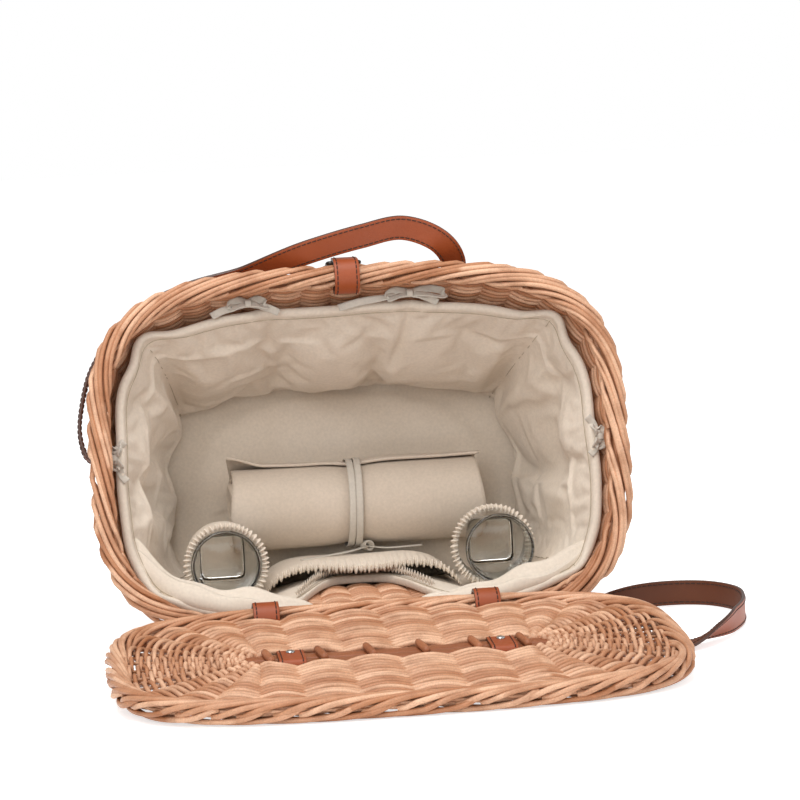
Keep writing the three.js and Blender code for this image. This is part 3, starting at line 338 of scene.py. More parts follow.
# %% Stakes and rows of the wall
STAKES = 48
STEPS = 5
ROW_PITCH = 3.0
WALL_ROWS = 56
WALL_LOW = 12
CAVE_DEPTH = 18
WEAVER_R, WALING_R, STAKE_R = 1.85, 2.3, 2.1
around = even_angles(RIM_HALF_X, RIM_HALF_Y, STAKES * STEPS)
LEATHER_GAPS = [(-HINGE_X, -1), (HINGE_X, -1), (CLOSER_X, 1)]


def pressed(x, y, z):
    """Lowers the top rows where a leather loop goes round the border."""
    drop = np.zeros_like(x)
    for gap_x, side in LEATHER_GAPS:
        beside = np.exp(-(((x - gap_x) / 17) ** 4)) * (np.sign(y) == side)
        drop = np.maximum(drop, beside)
    return z - 6.5 * drop * smooth_step(z, 150, 189)


def caved(x, y, z):
    """How far the hinge side is pushed in between its loops, where the basket lies on its handle."""
    upward = np.sin(np.pi * np.clip((z - 20) / 200, 0, 1))
    return CAVE_DEPTH * np.exp(-np.abs(x / 72) ** 4) * upward * (y < 0)


def wall_row(z, waves, radius, wander):
    """One row: its distance out from the wall's middle is given at each step round the oval."""
    height = z + wander * np.sin(around * 3 + z)
    half_x, half_y = wall_half(height)
    x, y = oval(around, half_x, half_y)
    out = np.array([x / half_x**2 * 1e4, y / half_y**2 * 1e4]).T
    out = out * np.abs(out) ** (OVAL_POWER - 2)
    out /= np.linalg.norm(out, axis=1)[:, None]
    y = y + caved(x, y, height)
    points = np.column_stack([x + out[:, 0] * waves, y + out[:, 1] * waves, pressed(x, y, height)])
    return points, radius, True


step = np.arange(STAKES * STEPS) / STEPS
paths = []
for row in range(WALL_ROWS):
    swing = np.cos(np.pi * (step + row))
    waves = 2.9 * np.sign(swing) * np.abs(swing) ** 0.7
    paths.append(wall_row(WALL_LOW + 13 + row * ROW_PITCH, waves, WEAVER_R, 0.3))
for row in range(3):
    # A waling band at the foot: each rod passes outside two stakes and inside the third.
    turn = np.cos(2 * np.pi * (step + row) / 3)
    paths.append(wall_row(WALL_LOW + 1.5 + row * 4.2, 1.2 + 3.2 * turn, WALING_R, 0.2))
wall_mesh = rod_mesh("wall_weave", paths, BASKET)
finish_piece("wall_weave", wall_mesh, WILLOW, "basket", "willow", "side_wall")

stakes = []
for angle in even_angles(RIM_HALF_X, RIM_HALF_Y, STAKES):
    z = np.linspace(8, 191, 8)
    half_x, half_y = wall_half(z)
    x, y = oval(np.full_like(z, angle), half_x, half_y)
    stakes.append((np.column_stack([x, y + caved(x, y, z), pressed(x, y, z)]), STAKE_R, False))
finish_piece("wall_stakes", rod_mesh("wall_stakes", stakes, BASKET), WILLOW, "basket", "willow")

# %% [markdown]
# ## The plaited borders
# At the rim each stake is bent down and laid along the edge, over its neighbours, until it is cut off
# on the inside. About five rods lie side by side at any place. A rod therefore starts low on the
# outer side, climbs over the top as it runs on, and ends low on the inner side.

# %% Border rods


def border_paths(half_x, half_y, radius, rod, count, length, way, over):
    """Rods of a border round an oval, laid in pairs. length is in mm, way is the direction that they
    run, and over is 1 where they climb over the upper side and -1 where they pass below."""
    x, y = oval(even_angles(half_x, half_y, 1440), half_x, half_y)
    ring = np.column_stack([x, y])
    pitch = np.linalg.norm(ring - np.roll(ring, 1, axis=0), axis=1).mean()
    run = np.roll(ring, -4, axis=0) - np.roll(ring, 4, axis=0)
    run /= np.linalg.norm(run, axis=1)[:, None]
    out = np.column_stack([run[:, 1], -run[:, 0]])
    t = np.linspace(0, 1, 26)
    # A rod crosses the top at an even pace, and tucks in steeply at both of its ends.
    level = 0.951 * (1 - 2 * np.clip((t - 0.12) / 0.76, 0, 1))
    turn = np.arccos(level) - 1.0 * (1 - smooth_step(t, 0, 0.12)) + 0.55 * smooth_step(t, 0.88, 1)
    tuck = 1 - 0.45 * (1 - smooth_step(t, 0, 0.12)) - 0.15 * smooth_step(t, 0.92, 1)
    found = []
    for k in range(count):
        start = 2 * (k // 2) + 0.82 * (k % 2) + chance.normal(0, 0.04)
        s = (start / count * 1440 + way * t * length * chance.normal(1, 0.05) / pitch) % 1440
        at = s.astype(int) % 1440
        centre = ring[at] + run[at] * ((s - np.floor(s)) * pitch)[:, None]
        reach = (radius - rod + chance.normal(0, 0.2)) * tuck
        across = reach * np.cos(turn)
        up = over * reach * np.sin(turn)
        thick = rod * (1.06 - 0.16 * t) * chance.normal(1, 0.04)
        found.append((np.column_stack([centre + out[at] * across[:, None], up]), thick, False))
    return found


def shifted(paths, move):
    return [(points + np.asarray(move), radius, closed) for points, radius, closed in paths]


def core_paths(half_x, half_y, radius, rods, way):
    """The rods inside a border, lightly twisted, which close it from below."""
    angles = even_angles(half_x, half_y, 240)
    x, y = oval(angles, half_x, half_y)
    run = np.column_stack([np.roll(x, -1) - np.roll(x, 1), np.roll(y, -1) - np.roll(y, 1)])
    run /= np.linalg.norm(run, axis=1)[:, None]
    found = []
    for k in range(rods):
        turn = way * np.arange(240) / 240 * 2 * np.pi * 12 + k / rods * 2 * np.pi
        across = radius * np.cos(turn)
        points = np.column_stack([x + run[:, 1] * across, y - run[:, 0] * across, radius * np.sin(turn)])
        found.append((points, radius * 0.95, True))
    return found


def plait(name, half_x, half_y, radius, rod, count, length, way, over, move, axes, body, node):
    """A border: rods over its face, a second set under it, and a core that closes it inside."""
    rods = border_paths(half_x, half_y, radius, rod, count, length, way, over)
    rods += border_paths(half_x, half_y, radius, rod, 2 * round(count / 3), length, -way, -over)
    rods += core_paths(half_x, half_y, 0.21 * radius, 3, way)
    mesh = rod_mesh(name, shifted(rods, move), axes, 2)
    return finish_piece(name, mesh, WILLOW, body, "willow", node)


plait(
    "rim_plait", RIM_HALF_X, RIM_HALF_Y, BORDER_R, rod=2.0, count=60, length=110, way=1, over=1,
    move=(0, 0, RIM_Z), axes=BASKET, body="basket", node="rim_border",
)
plait(
    "lid_plait", RIM_HALF_X, LID_HALF_Y, LID_BORDER_R, rod=2.0, count=56, length=122, way=-1, over=-1,
    move=(0, LID_MIDDLE_Y, 0), axes=LID, body="lid", node="lid_border",
)
plait(
    "foot_plait", BASE_HALF_X, BASE_HALF_Y, FOOT_R, rod=1.25, count=60, length=70, way=1, over=-1,
    move=(0, 0, FOOT_Z), axes=BASKET, body="basket", node="foot_border",
)

# %% [markdown]
# ## The oval weave of the lid and the base
# Rods run round and round a core of sticks: cross sticks along the sides and a fan of sticks in each
# end. A rod goes over one stick and under the next, and its neighbour goes the other way. Each is one
# closed loop here: at every stick it is over or under, and between sticks it crosses the middle.

# %% Oval weave


def oval_weave(half_x, half_y, core_x, core_y, sticks_x, fan, rows, lift):
    """Closed loops of rods, and the sticks that they pass. sticks_x are the cross sticks, and fan is
    the number of sticks in each end. A rod is a little thicker than the room that its row has."""
    side = [(core_x - x) / (2 * core_x) for x in sorted(sticks_x, reverse=True)]
    ends = [(k + 1) / (fan + 1) for k in range(fan)]
    stick_at = np.array(side + [1 + e for e in ends] + [2 + s for s in side] + [3 + e for e in ends])
    steps = 7
    after = np.append(stick_at[1:], stick_at[0] + 4)
    part = np.tile(np.arange(steps) / steps, len(stick_at))
    stick = np.repeat(np.arange(len(stick_at)), steps)
    w = np.repeat(stick_at, steps) + part * np.repeat(after - stick_at, steps)
    leg = np.floor(w).astype(int) % 4
    frac = w - np.floor(w)
    straight = leg % 2 == 0
    along = np.where(leg == 0, core_x - 2 * core_x * frac, 2 * core_x * frac - core_x) * straight
    turn = np.where(leg == 1, np.pi / 2 + np.pi * frac, -np.pi / 2 + np.pi * frac)
    fan_x = np.where(leg == 1, -core_x, core_x)
    ray = np.linspace(0, 400, 1601)
    px = (fan_x[:, None] + ray * np.cos(turn)[:, None]) / half_x
    py = ray * np.sin(turn)[:, None] / half_y
    far_fan = ray[np.argmax(np.abs(px) ** OVAL_POWER + np.abs(py) ** OVAL_POWER > 1, axis=1)]
    far = np.where(straight, edge(along, half_x, half_y), far_fan)

    def spread(distance, rise):
        x = np.where(straight, along, fan_x + distance * np.cos(turn))
        y = np.where(straight, np.where(leg == 0, distance, -distance), distance * np.sin(turn))
        return np.column_stack([x, y, rise + 0 * x])

    found = []
    room = (far - core_y) / rows
    for i in range(rows):
        swing = np.cos(np.pi * part) * np.where((stick + i) % 2 == 0, 1, -1)
        rise = lift * chance.normal(1, 0.08) * np.sign(swing) * np.abs(swing) ** 0.9
        lane = i + 0.5 + chance.normal(0, 0.1) + np.repeat(chance.normal(0, 0.12, len(stick_at)), steps)
        thick = 0.56 * room * chance.normal(1, 0.08)
        found.append((spread(core_y + lane * room, rise), thick, True))
    near_end, far_end = spread(core_y + 0 * far, 0)[::steps], spread(far, 0)[::steps]
    found += [(np.array([a, b]), 1.5, False) for a, b in zip(near_end, far_end)]
    return found


STICKS_X = [-95, -57, -19, 19, 57, 95]
inset = LID_BORDER_R - 4
weave = oval_weave(RIM_HALF_X - inset, LID_HALF_Y - inset, 100, 14, STICKS_X, 11, 30, 3.4)


def made_way(paths):
    """Rods lie lower under the straps of the outer face, and part round the tabs and hinge loops."""
    made = []
    for points, radius, closed in paths:
        x, y, z = points.T
        strapped = np.exp(-(((np.abs(x) - 82) / 17) ** 6)) * (y < 0)
        z = z * (1 - strapped) + np.minimum(z, 2.4) * strapped
        tabbed = np.exp(-(((np.abs(x) - TAB_X) / 15) ** 6)) * np.exp(-np.maximum(np.abs(y) - 15, 0) / 22)
        y = y + np.sign(y) * 4.4 * tabbed
        looped = np.exp(-(((np.abs(x) - HINGE_X) / 16) ** 6))
        from_hinge = y + LID_MIDDLE_Y
        moved = 44 - (44 - from_hinge) * (44 - 16) / (44 - 7)
        y = np.where(from_hinge < 44, y + (moved - from_hinge) * looped, y)
        made.append((np.column_stack([x, y, z]), radius, closed))
    return made


lid_rods = shifted(made_way(weave), (0, LID_MIDDLE_Y, 0))
lid_mesh = rod_mesh("lid_weave", lid_rods, LID)
finish_piece("lid_weave", lid_mesh, WILLOW, "lid", "willow", "lid_panel")

BASE_STICKS_X = [-66, -40, -14, 14, 40, 66]
base_rods = oval_weave(BASE_HALF_X - 3, BASE_HALF_Y - 3, 80, 8, BASE_STICKS_X, 9, 24, 1.3)
# Four straight sticks close the slot in the middle, inside the first row.
for y in (-6, -2, 2, 6):
    base_rods.append((np.array([[-88.0, y, 0], [0, y + 0.3, 0.4], [88, y, 0]]), 2.2, False))
base_mesh = rod_mesh("base_weave", shifted(base_rods, (0, 0, 5)), BASKET)
finish_piece("base_weave", base_mesh, WILLOW, "basket", "willow", "base_panel")

# %% [markdown]
# ## The cotton lining
# The lining is padded cotton canvas, sewn from panels and tied to the wall at four places. With the
# basket on its side, its upper panel hangs and its end panels slump, so folds run between the seams.
# That is what Blender's cloth simulation is for: the panels are cut a little too large, held along
# their seams, and left to fall. The result is then closed round the back into one padded form.

# %% Cotton canvas, woven and unbleached


def cotton_finish(name, light, dark, threads):
    """Matt cloth with slight unevenness. threads counts the threads across the piece's UV map."""
    material, tree, shader = new_finish(name)
    place = add(tree, "TexCoord")
    clouds = add(tree, "TexNoise", {"Vector": place.outputs["Object"], "Scale": 22, "Detail": 5})
    tone = add(tree, "Mix", {0: clouds.outputs[0], 6: linear(dark), 7: linear(light)}, data_type="RGBA")
    # Slubs: thicker places in the yarn, 2 to 3 mm long.
    slubs = add(tree, "TexNoise", {"Vector": place.outputs["Object"], "Scale": 420, "Detail": 3})
    slub = add(tree, "MapRange", {0: slubs.outputs[0], 1: 0.3, 2: 0.75, 3: 0.94, 4: 1.05})
    worn = add(
        tree,
        "Mix",
        {0: 1.0, 6: tone.outputs[2], 7: slub.outputs[0]},
        data_type="RGBA",
        blend_type="MULTIPLY",
    )
    tree.links.new(worn.outputs[2], shader.inputs["Base Color"])
    # Warp and weft as two sine waves on the UV map, drawn coarser than real yarn so that they show.
    flat = add(tree, "UVMap")
    uv = add(tree, "SeparateXYZ", {"Vector": flat.outputs["UV"]})
    waves = []
    for axis, count in zip("XY", threads):
        phase = add(tree, "Math", {0: uv.outputs[axis], 1: count * 2 * math.pi}, operation="MULTIPLY")
        waves.append(add(tree, "Math", {0: phase.outputs[0]}, operation="SINE"))
    weave = add(tree, "Math", {0: waves[0].outputs[0], 1: waves[1].outputs[0]}, operation="MULTIPLY")
    height = add(tree, "Math", {0: weave.outputs[0], 1: 0.35, 2: slubs.outputs[0]}, operation="MULTIPLY_ADD")
    bump = add(tree, "Bump", {"Strength": 0.25, "Distance": 0.0005, "Height": height.outputs[0]})
    tree.links.new(bump.outputs["Normal"], shader.inputs["Normal"])
    shader.inputs["Roughness"].default_value = 0.92
    shader.inputs["Specular IOR Level"].default_value = 0.2
    shader.inputs["Sheen Weight"].default_value = 0.15
    shader.inputs["Sheen Roughness"].default_value = 0.6
    return material


LINING_CLOTH = cotton_finish("cotton canvas, woven and unbleached", "#e9dccc", "#d8cab8", (900, 420))
ROLL_CLOTH = cotton_finish("cotton cloth, woven and washed soft", "#decfbe", "#ccbdab", (420, 900))
TAPE_CLOTH = cotton_finish("cotton tape, woven narrow", "#d6cec2", "#c0b6a8", (160, 8))
THREAD = cotton_finish("cotton sewing thread, unbleached", "#b8a88e", "#a09078", (40, 4))
print("cloths:", LINING_CLOTH.name, "|", TAPE_CLOTH.name, "|", THREAD.name)

# %% The lining's places: seams, hem and billows
LINING_OUT, LINING_IN = 4.7, 11.7
FLOOR_LOW, FLOOR_TOP = 8.7, 15.7
LINING_TOP = 178
AROUND, WALL_STEPS = 232, 46
TIE_FRONT_X = (-80, 50)
ring_angles = np.append(even_angles(RIM_HALF_X, RIM_HALF_Y, 2880), 2 * np.pi)
ring_start = np.searchsorted(ring_angles, 1.5 * np.pi)


def ring_angle(u):
    """The oval's angle at a share of the way round, from the middle of the hinge side."""
    return np.interp((np.asarray(u) * 2880 + ring_start) % 2880, np.arange(2881), ring_angles)


def near(x, centre, width):
    return np.exp(-(((x - centre) / width) ** 2))


def hem_height(x, y):
    """The hem sags in the middle of the hinge side, and is drawn up a little at each tie."""
    rear = LINING_TOP - 74 * np.exp(-(np.abs((x + 2) / 46) ** 3))
    front = LINING_TOP - 7 + 4 * np.abs(x / RIM_HALF_X) ** 2
    for tie_x in TIE_FRONT_X:
        front = front - 4.5 * near(x, tie_x + 6, 9) + 2 * near(x, tie_x - 30, 24)
    share = smooth_step(y / RIM_HALF_Y, -0.6, 0.6)
    return rear * (1 - share) + front * share + 10 * corner_near(x, y) + 2.5 * ends_near(x, y)


def corner_near(x, y):
    """1 at the four corner seams and 0 away from them."""
    return near(np.abs(x) / RIM_HALF_X, 0.86, 0.07) * smooth_step(np.abs(y) / RIM_HALF_Y, 0.6, 0.8)


def ends_near(x, y):
    """1 along the basket's two ends and 0 along its front and hinge side."""
    at_end = smooth_step(np.abs(x) / RIM_HALF_X, 0.85, 0.97)
    return at_end * (1 - smooth_step(np.abs(y) / RIM_HALF_Y, 0.65, 0.9))


def wall_cloth(u, v, inward):
    """Points on the lining's wall: v runs from the floor to the hem, inward is the way from the weave."""
    angle = ring_angle(u)
    x, y = oval(angle, RIM_HALF_X, RIM_HALF_Y)
    z = FLOOR_TOP + (hem_height(x, y) - FLOOR_TOP) * v
    half_x, half_y = wall_half(z, -inward)
    x, y = oval(angle, half_x, half_y)
    return np.column_stack([x, y + caved(x, y, z), z])


def slack(u, v):
    """How far the panels stand in from the weave before they fall."""
    x, y = oval(ring_angle(u), RIM_HALF_X, RIM_HALF_Y)
    loose = smooth_step(y / RIM_HALF_Y, -0.85, -0.1)
    front = smooth_step(y / RIM_HALF_Y, 0.5, 0.95)
    free = 1 - 0.75 * corner_near(x, y)
    # A panel is tucked in at its foot, fullest low down, and narrows towards the hem.
    swell = np.interp(v, [0, 0.04, 0.14, 0.4, 0.8, 1], [-0.8, 0.45, 1.0, 1.0, 0.6, 0.2])
    ends = ends_near(x, y)
    wave = 0.5 + 0.5 * np.sin(16 * np.pi * u + 3 * v) * np.sin(6 * np.pi * u - 4 * v)
    wave = wave * (1 - ends) + ends * (0.5 + 0.5 * np.sin(30 * np.pi * u + 2 * v))
    stand = 4 * front * smooth_step(v, 0.15, 0.95) * free
    for tie_x in TIE_FRONT_X:
        stand = stand - 3.5 * front * near(x, tie_x + 6, 8) * smooth_step(v, 0.85, 1)
    billow = loose * swell * (11 + 6 * ends + 6 * wave * smooth_step(v, 0.05, 0.5)) * free
    # At the corner seams the hem lies back against the border.
    return LINING_IN + billow + stand - 3 * corner_near(x, y) * smooth_step(v, 0.7, 1)


print("hem at the back and the front:", np.round(hem_height(np.zeros(2), np.array([-140.0, 140.0])), 1))

# %% The panels fall
FALL_FRAMES = 24
FALL_CAP = 15.0


def grid_places(mesh):
    """Each vertex's place on the flat sheet, read from the UV map."""
    uv = np.empty(2 * len(mesh.loops))
    corner = np.empty(len(mesh.loops), int)
    mesh.uv_layers[0].data.foreach_get("uv", uv)
    mesh.loops.foreach_get("vertex_index", corner)
    place = np.empty((len(mesh.vertices), 2))
    place[corner] = uv.reshape(-1, 2)
    return place.T


def let_fall(mesh, held, start):
    """Runs the cloth simulation and gives the points where the cloth comes to rest, in mm."""
    faller = link("lining_fall", mesh)
    group = faller.vertex_groups.new(name="held")
    for index, weight in enumerate(held):
        group.add([index], float(weight), "REPLACE")
    cloth = faller.modifiers.new("fall", "CLOTH")
    cloth.settings.vertex_group_mass = "held"
    cloth.settings.quality = 7
    cloth.settings.mass = 0.012
    cloth.settings.tension_stiffness = 30
    cloth.settings.compression_stiffness = 30
    cloth.settings.shear_stiffness = 12
    cloth.settings.bending_stiffness = 0.02
    cloth.settings.air_damping = 1.5
    cloth.settings.shrink_min = -0.09
    cloth.collision_settings.use_collision = False
    cloth.point_cache.frame_end = FALL_FRAMES
    for moment in range(1, FALL_FRAMES + 1):
        bpy.context.scene.frame_set(moment)
    settled = faller.evaluated_get(bpy.context.evaluated_depsgraph_get()).to_mesh()
    there = np.empty(3 * len(settled.vertices))
    settled.vertices.foreach_get("co", there)
    bpy.context.scene.frame_set(1)
    bpy.data.objects.remove(faller)
    move = (there.reshape(-1, 3) / MM - BASKET[:3, 3]) @ BASKET[:3, :3] - start
    length = np.linalg.norm(move, axis=1)
    print("fall, mm: mean", round(float(length.mean()), 2), "most", round(float(length.max()), 1))
    return start + move * np.minimum(1, FALL_CAP / np.maximum(length, 1e-6))[:, None]


wall_sheet = bent_sheet("lining_fall", AROUND, WALL_STEPS, lambda u, v: wall_cloth(u, v, slack(u, v)), BASKET)
u, v = grid_places(wall_sheet)
x, y = oval(ring_angle(u), RIM_HALF_X, RIM_HALF_Y)
ends = wall_cloth(u, v, slack(u, v))
held = 1 - smooth_step(y / RIM_HALF_Y, -0.9, -0.3)
held = np.maximum(held, 1 - smooth_step(v, 0.0, 0.07))
held = np.maximum(held, smooth_step(v, 0.93, 0.985))
held = np.maximum(held, 0.7 * corner_near(x, y) * smooth_step(v, 0.25, 0.6))
ends = let_fall(wall_sheet, held, ends)
fallen = np.empty((WALL_STEPS + 1, AROUND + 1, 3))
fallen[np.round(v * WALL_STEPS).astype(int), np.round(u * AROUND).astype(int)] = ends

# %% Where the tumblers stand
GLASS_HEIGHT, GLASS_MOUTH_R, GLASS_BASE_HALF = 65, 28, 19


def glass_axes(name):
    """A tumbler's own axes: z from its foot to its mouth, along the slide that draws it out."""
    draw = np.array(joints[name + "_slide"]["axis"], float)
    low, high = (np.array(corner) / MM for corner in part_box(name))
    axes = np.eye(4)
    axes[:3, 2] = draw
    axes[:3, 1] = np.cross(draw, (1, 0, 0))
    axes[:3, 3] = (
        (low[0] + high[0]) / 2,
        high[1] - GLASS_BASE_HALF * abs(draw[2]),
        high[2] - GLASS_HEIGHT * draw[2] - GLASS_MOUTH_R * abs(draw[1]),
    )
    return axes


GLASS_AXES = {name: glass_axes(name) for name in ("tumbler_left", "tumbler_right")}
for name, axes in GLASS_AXES.items():
    print(name, "foot at", np.round(axes[:3, 3], 2))

# %% The lining closes into one padded form
ROLL_AT = np.array([6, -22, 53.48])
ROLL_HALF = 105
FLOOR_STEPS, HEM_STEPS, BACK_STEPS = 22, 8, 10
HEM_THICK = 8


def floor_fold(x, y):
    """A stiff board under the floor shows as a long curved crease, and the cloth ripples over it."""
    board = (np.abs(x / 128) ** 2.4 + np.abs(y / 80) ** 2.4) ** (1 / 2.4)
    ripple = 0.7 * np.sin(x / 21 + 1) * np.sin(y / 27 + 0.5)
    return 3.5 * (1 - smooth_step(board, 0.93, 1.0)) + ripple * (1 - smooth_step(board, 0.9, 1.15))


def kept_clear(points):
    """Moves the cloth off the rolled cloth and the tumblers' sleeves, which press it back."""
    points = points.copy()
    away = points - ROLL_AT
    gap = np.hypot(away[..., 1], away[..., 2])
    push = np.where((np.abs(away[..., 0]) < ROLL_HALF + 5) & (gap < 39.3), 39.3 / np.maximum(gap, 1), 1)
    points[..., 1:] = ROLL_AT[1:] + away[..., 1:] * push[..., None]
    for axes in GLASS_AXES.values():
        there = placed(points.reshape(-1, 3), BASKET)
        local = (there - axes[:3, 3]) @ axes[:3, :3]
        radius = np.hypot(local[:, 0], local[:, 1])
        height = local[:, 2]
        want = np.where((height > 46) & (height < 72), 34.6, np.where((height > 4) & (height < 62), 31.6, 0))
        local[:, :2] *= np.where(radius < want, want / np.maximum(radius, 1), 1)[:, None]
        there = local @ axes[:3, :3].T + axes[:3, 3]
        points = ((there - BASKET[:3, 3]) @ BASKET[:3, :3]).reshape(points.shape)
    return points


def lining_skin():
    """The form's rows of points: floor, wall, hem, back of the wall, underside."""
    rows = []
    for k in range(FLOOR_STEPS):
        ring = fallen[0] * (k / FLOOR_STEPS, k / FLOOR_STEPS, 1)
        ring[:, 2] += floor_fold(ring[:, 0], ring[:, 1])
        rows.append(ring)
    rows.extend(fallen)
    rows = list(kept_clear(np.array(rows)))
    inner = rows[FLOOR_STEPS:]
    share = np.linspace(0, 1, AROUND + 1)
    backs = []
    for k in range(BACK_STEPS + 1):
        v = 1 - k / BACK_STEPS
        front = inner[round(v * WALL_STEPS)]
        gap = wall_cloth(share, v + 0 * share, LINING_OUT) - front
        reach = np.linalg.norm(gap, axis=1)
        # The padding is 8 mm thick at the hem, and lies against the weave further down.
        thick = HEM_THICK + 70 * (1 - v)
        backs.append(front + gap * np.minimum(1, thick / reach)[:, None])
        backs[-1][:, 2] -= (FLOOR_TOP - FLOOR_LOW) * k / BACK_STEPS
    hem, back = rows[-1], backs[0]
    for k in range(1, HEM_STEPS):
        turn = np.pi * k / HEM_STEPS
        lift = np.linalg.norm(hem[:, :2] - back[:, :2], axis=1) * 0.5 * np.sin(turn)
        mid = (hem + back) / 2 + (hem - back) / 2 * np.cos(turn)
        rows.append(mid + np.column_stack([0 * lift, 0 * lift, lift]))
    rows += backs
    for k in range(1, 5):
        rows.append(backs[-1] * (1 - k / 4, 1 - k / 4, 1))
    return np.array(rows)


skin = lining_skin()


def on_skin(u, v):
    return skin[np.round(v * (len(skin) - 1)).astype(int), np.round(u * AROUND).astype(int)]


lining_mesh = bent_sheet("padded_lining", AROUND, len(skin) - 1, on_skin, BASKET, 0.02)
padded_lining = finish_piece("padded_lining", lining_mesh, LINING_CLOTH, "basket", "lining", "lining")
smoothed = padded_lining.modifiers.new("soft", "SUBSURF")
smoothed.levels = smoothed.render_levels = 1
print("lining faces", len(lining_mesh.polygons))

# %% Seam threads of the lining


def stitches(points, lift, pitch, length, radius):
    """Short rods laid along a line of points, each dipping into the cloth or leather at its ends."""
    run = run_along(points)
    found = []
    for middle in np.arange(pitch / 2, run[-1], pitch):
        at = middle + length * np.array([-0.5, -0.28, 0.28, 0.5])
        line = np.column_stack([np.interp(at, run, points[:, k]) for k in range(3)])
        rise = np.column_stack([np.interp(at, run, lift[:, k]) for k in range(3)])
        found.append((line + rise * np.array([-0.3, 1, 1, -0.3])[:, None], radius, False))
    return found


def inward_lift(points, height):
    """A lift from the wall of the basket towards its middle."""
    lift = -points * (1, 1, 0)
    return height * lift / np.linalg.norm(lift, axis=1)[:, None]


near_hem, at_hem = skin[FLOOR_STEPS + WALL_STEPS - 1], skin[FLOOR_STEPS + WALL_STEPS]
hem_line = (0.4 * near_hem + 0.6 * at_hem)[:-1]
hem_line = sum(np.roll(hem_line, shift, axis=0) for shift in range(-2, 3)) / 5
hem_line += inward_lift(hem_line, 0.7) + (0, 0, 0.5)
seams = [(hem_line, 0.28, True)]
rim_x, rim_y = oval(ring_angle(np.linspace(0, 1, AROUND + 1)), RIM_HALF_X, RIM_HALF_Y)
for side_x in (-1, 1):
    for side_y in (-1, 1):
        column = np.argmax(corner_near(rim_x, rim_y) * (rim_x * side_x > 0) * (rim_y * side_y > 0))
        down = skin[FLOOR_STEPS : FLOOR_STEPS + WALL_STEPS, column]
        seams.append((down + inward_lift(down, 0.3), 0.3, False))
finish_piece("lining_seams", rod_mesh("lining_seams", seams, BASKET, 0), THREAD, "basket", "lining")

# %% [markdown]
# ## The rolled cloth
# A picnic cloth about 21 cm wide once folded, rolled up round itself and tied. It is modelled as the
# sheet it is: a flat grid wound into a spiral whose turns lie a few millimetres apart, drawn in under
# the ribbon, with uneven ends and one free corner that lifts.

# %% The cloth, rolled up
ROLL_CORE, ROLL_OUT, TURN_PITCH, CLOTH_THICK = 7.0, 37.0, 5.4, 2.2
ROLL_EDGE = 0.14 * math.pi
ROLL_TURNS = (ROLL_OUT - ROLL_CORE) / TURN_PITCH
RIBBON_X = -2
ROLL = BASKET.copy()
ROLL[:3, 3] = placed(ROLL_AT, BASKET)


def rolled(u, v):
    """u runs along the roll, v from the innermost turn to the free edge."""
    radius = np.sqrt(ROLL_CORE**2 + v * (ROLL_OUT**2 - ROLL_CORE**2))
    angle = ROLL_EDGE + 2 * np.pi * ((radius - ROLL_CORE) / TURN_PITCH - ROLL_TURNS)
    outer = smooth_step(v, 0.75, 1)
    x = (2 * u - 1) * (ROLL_HALF - 2.5)
    uneven = 2.2 * np.sin(1.3 * angle + 1) + 1.2 * np.sin(2.7 * angle)
    x = x + uneven * np.abs(2 * u - 1) ** 6 * np.sign(2 * u - 1)
    tie = near(x, RIBBON_X, 17)
    pucker = near(x, RIBBON_X, 30) * (1 - near(x, RIBBON_X, 7)) * np.sin(7 * angle + 0.05 * x)
    radius = radius * (1 - 0.07 * tie) + 0.7 * pucker * outer
    creases = 0.6 * np.sin(x / 19 + 2 * angle) + 0.7 * np.sin(x / 34 - 3 * angle)
    radius = radius + creases * outer - 1.0 * outer
    lifted = smooth_step(v, 0.965, 1) * smooth_step(-x, 74, ROLL_HALF)
    radius = radius + 7 * lifted
    return np.column_stack([x, radius * np.cos(angle), radius * np.sin(angle)])


roll_mesh = bent_sheet("cloth_rolled", 64, 330, rolled, ROLL)
cloth_rolled = finish_piece("cloth_rolled", roll_mesh, ROLL_CLOTH, "roll", "lining", "cloth_roll")
thicken(cloth_rolled, CLOTH_THICK)

# %% [markdown]
# ## Leather
# The straps are cowhide, dyed tan on the grain side and dark on the flesh side. Their edges are
# painted dark, and a waxed thread runs along both. A strap is a flat strip bent along its route, and
# Solidify gives it thickness, with one finish for the rim and another for the back.

# %% Tan grain side, dark flesh side, painted edge


def leather_finish(name, light, dark, rough, grain_mm):
    material, tree, shader = new_finish(name)
    place = add(tree, "TexCoord")
    # Pebbled pores between fine creases, over slow changes of shade about 40 mm across.
    pores = add(tree, "TexVoronoi", {"Vector": place.outputs["Object"], "Scale": 1 / (grain_mm * MM)})
    clouds = add(tree, "TexNoise", {"Vector": place.outputs["Object"], "Scale": 25, "Detail": 5})
    tone = add(tree, "Mix", {0: clouds.outputs[0], 6: linear(dark), 7: linear(light)}, data_type="RGBA")
    tree.links.new(tone.outputs[2], shader.inputs["Base Color"])
    worn = add(tree, "MapRange", {0: clouds.outputs[0], 3: rough - 0.06, 4: rough + 0.1})
    tree.links.new(worn.outputs[0], shader.inputs["Roughness"])
    bump = add(tree, "Bump", {"Strength": 0.3, "Distance": 0.0003, "Height": pores.outputs["Distance"]})
    tree.links.new(bump.outputs["Normal"], shader.inputs["Normal"])
    return material


LEATHER_FINISHES = [
    leather_finish("cowhide, grain side dyed tan", "#a54d20", "#873c17", 0.46, 0.8),
    leather_finish("leather edge, painted dark", "#4c2816", "#3a1c0e", 0.35, 1.5),
    leather_finish("cowhide, flesh side dyed dark", "#6d3a20", "#512812", 0.72, 0.5),
]
GRAIN_BEHIND = LEATHER_FINISHES[::-1]
STITCH = leather_finish("waxed linen thread, dark brown", "#3d2114", "#2c170d", 0.6, 0.6)
print("leather:", [finish.name for finish in LEATHER_FINISHES])

# %% Straps along a route


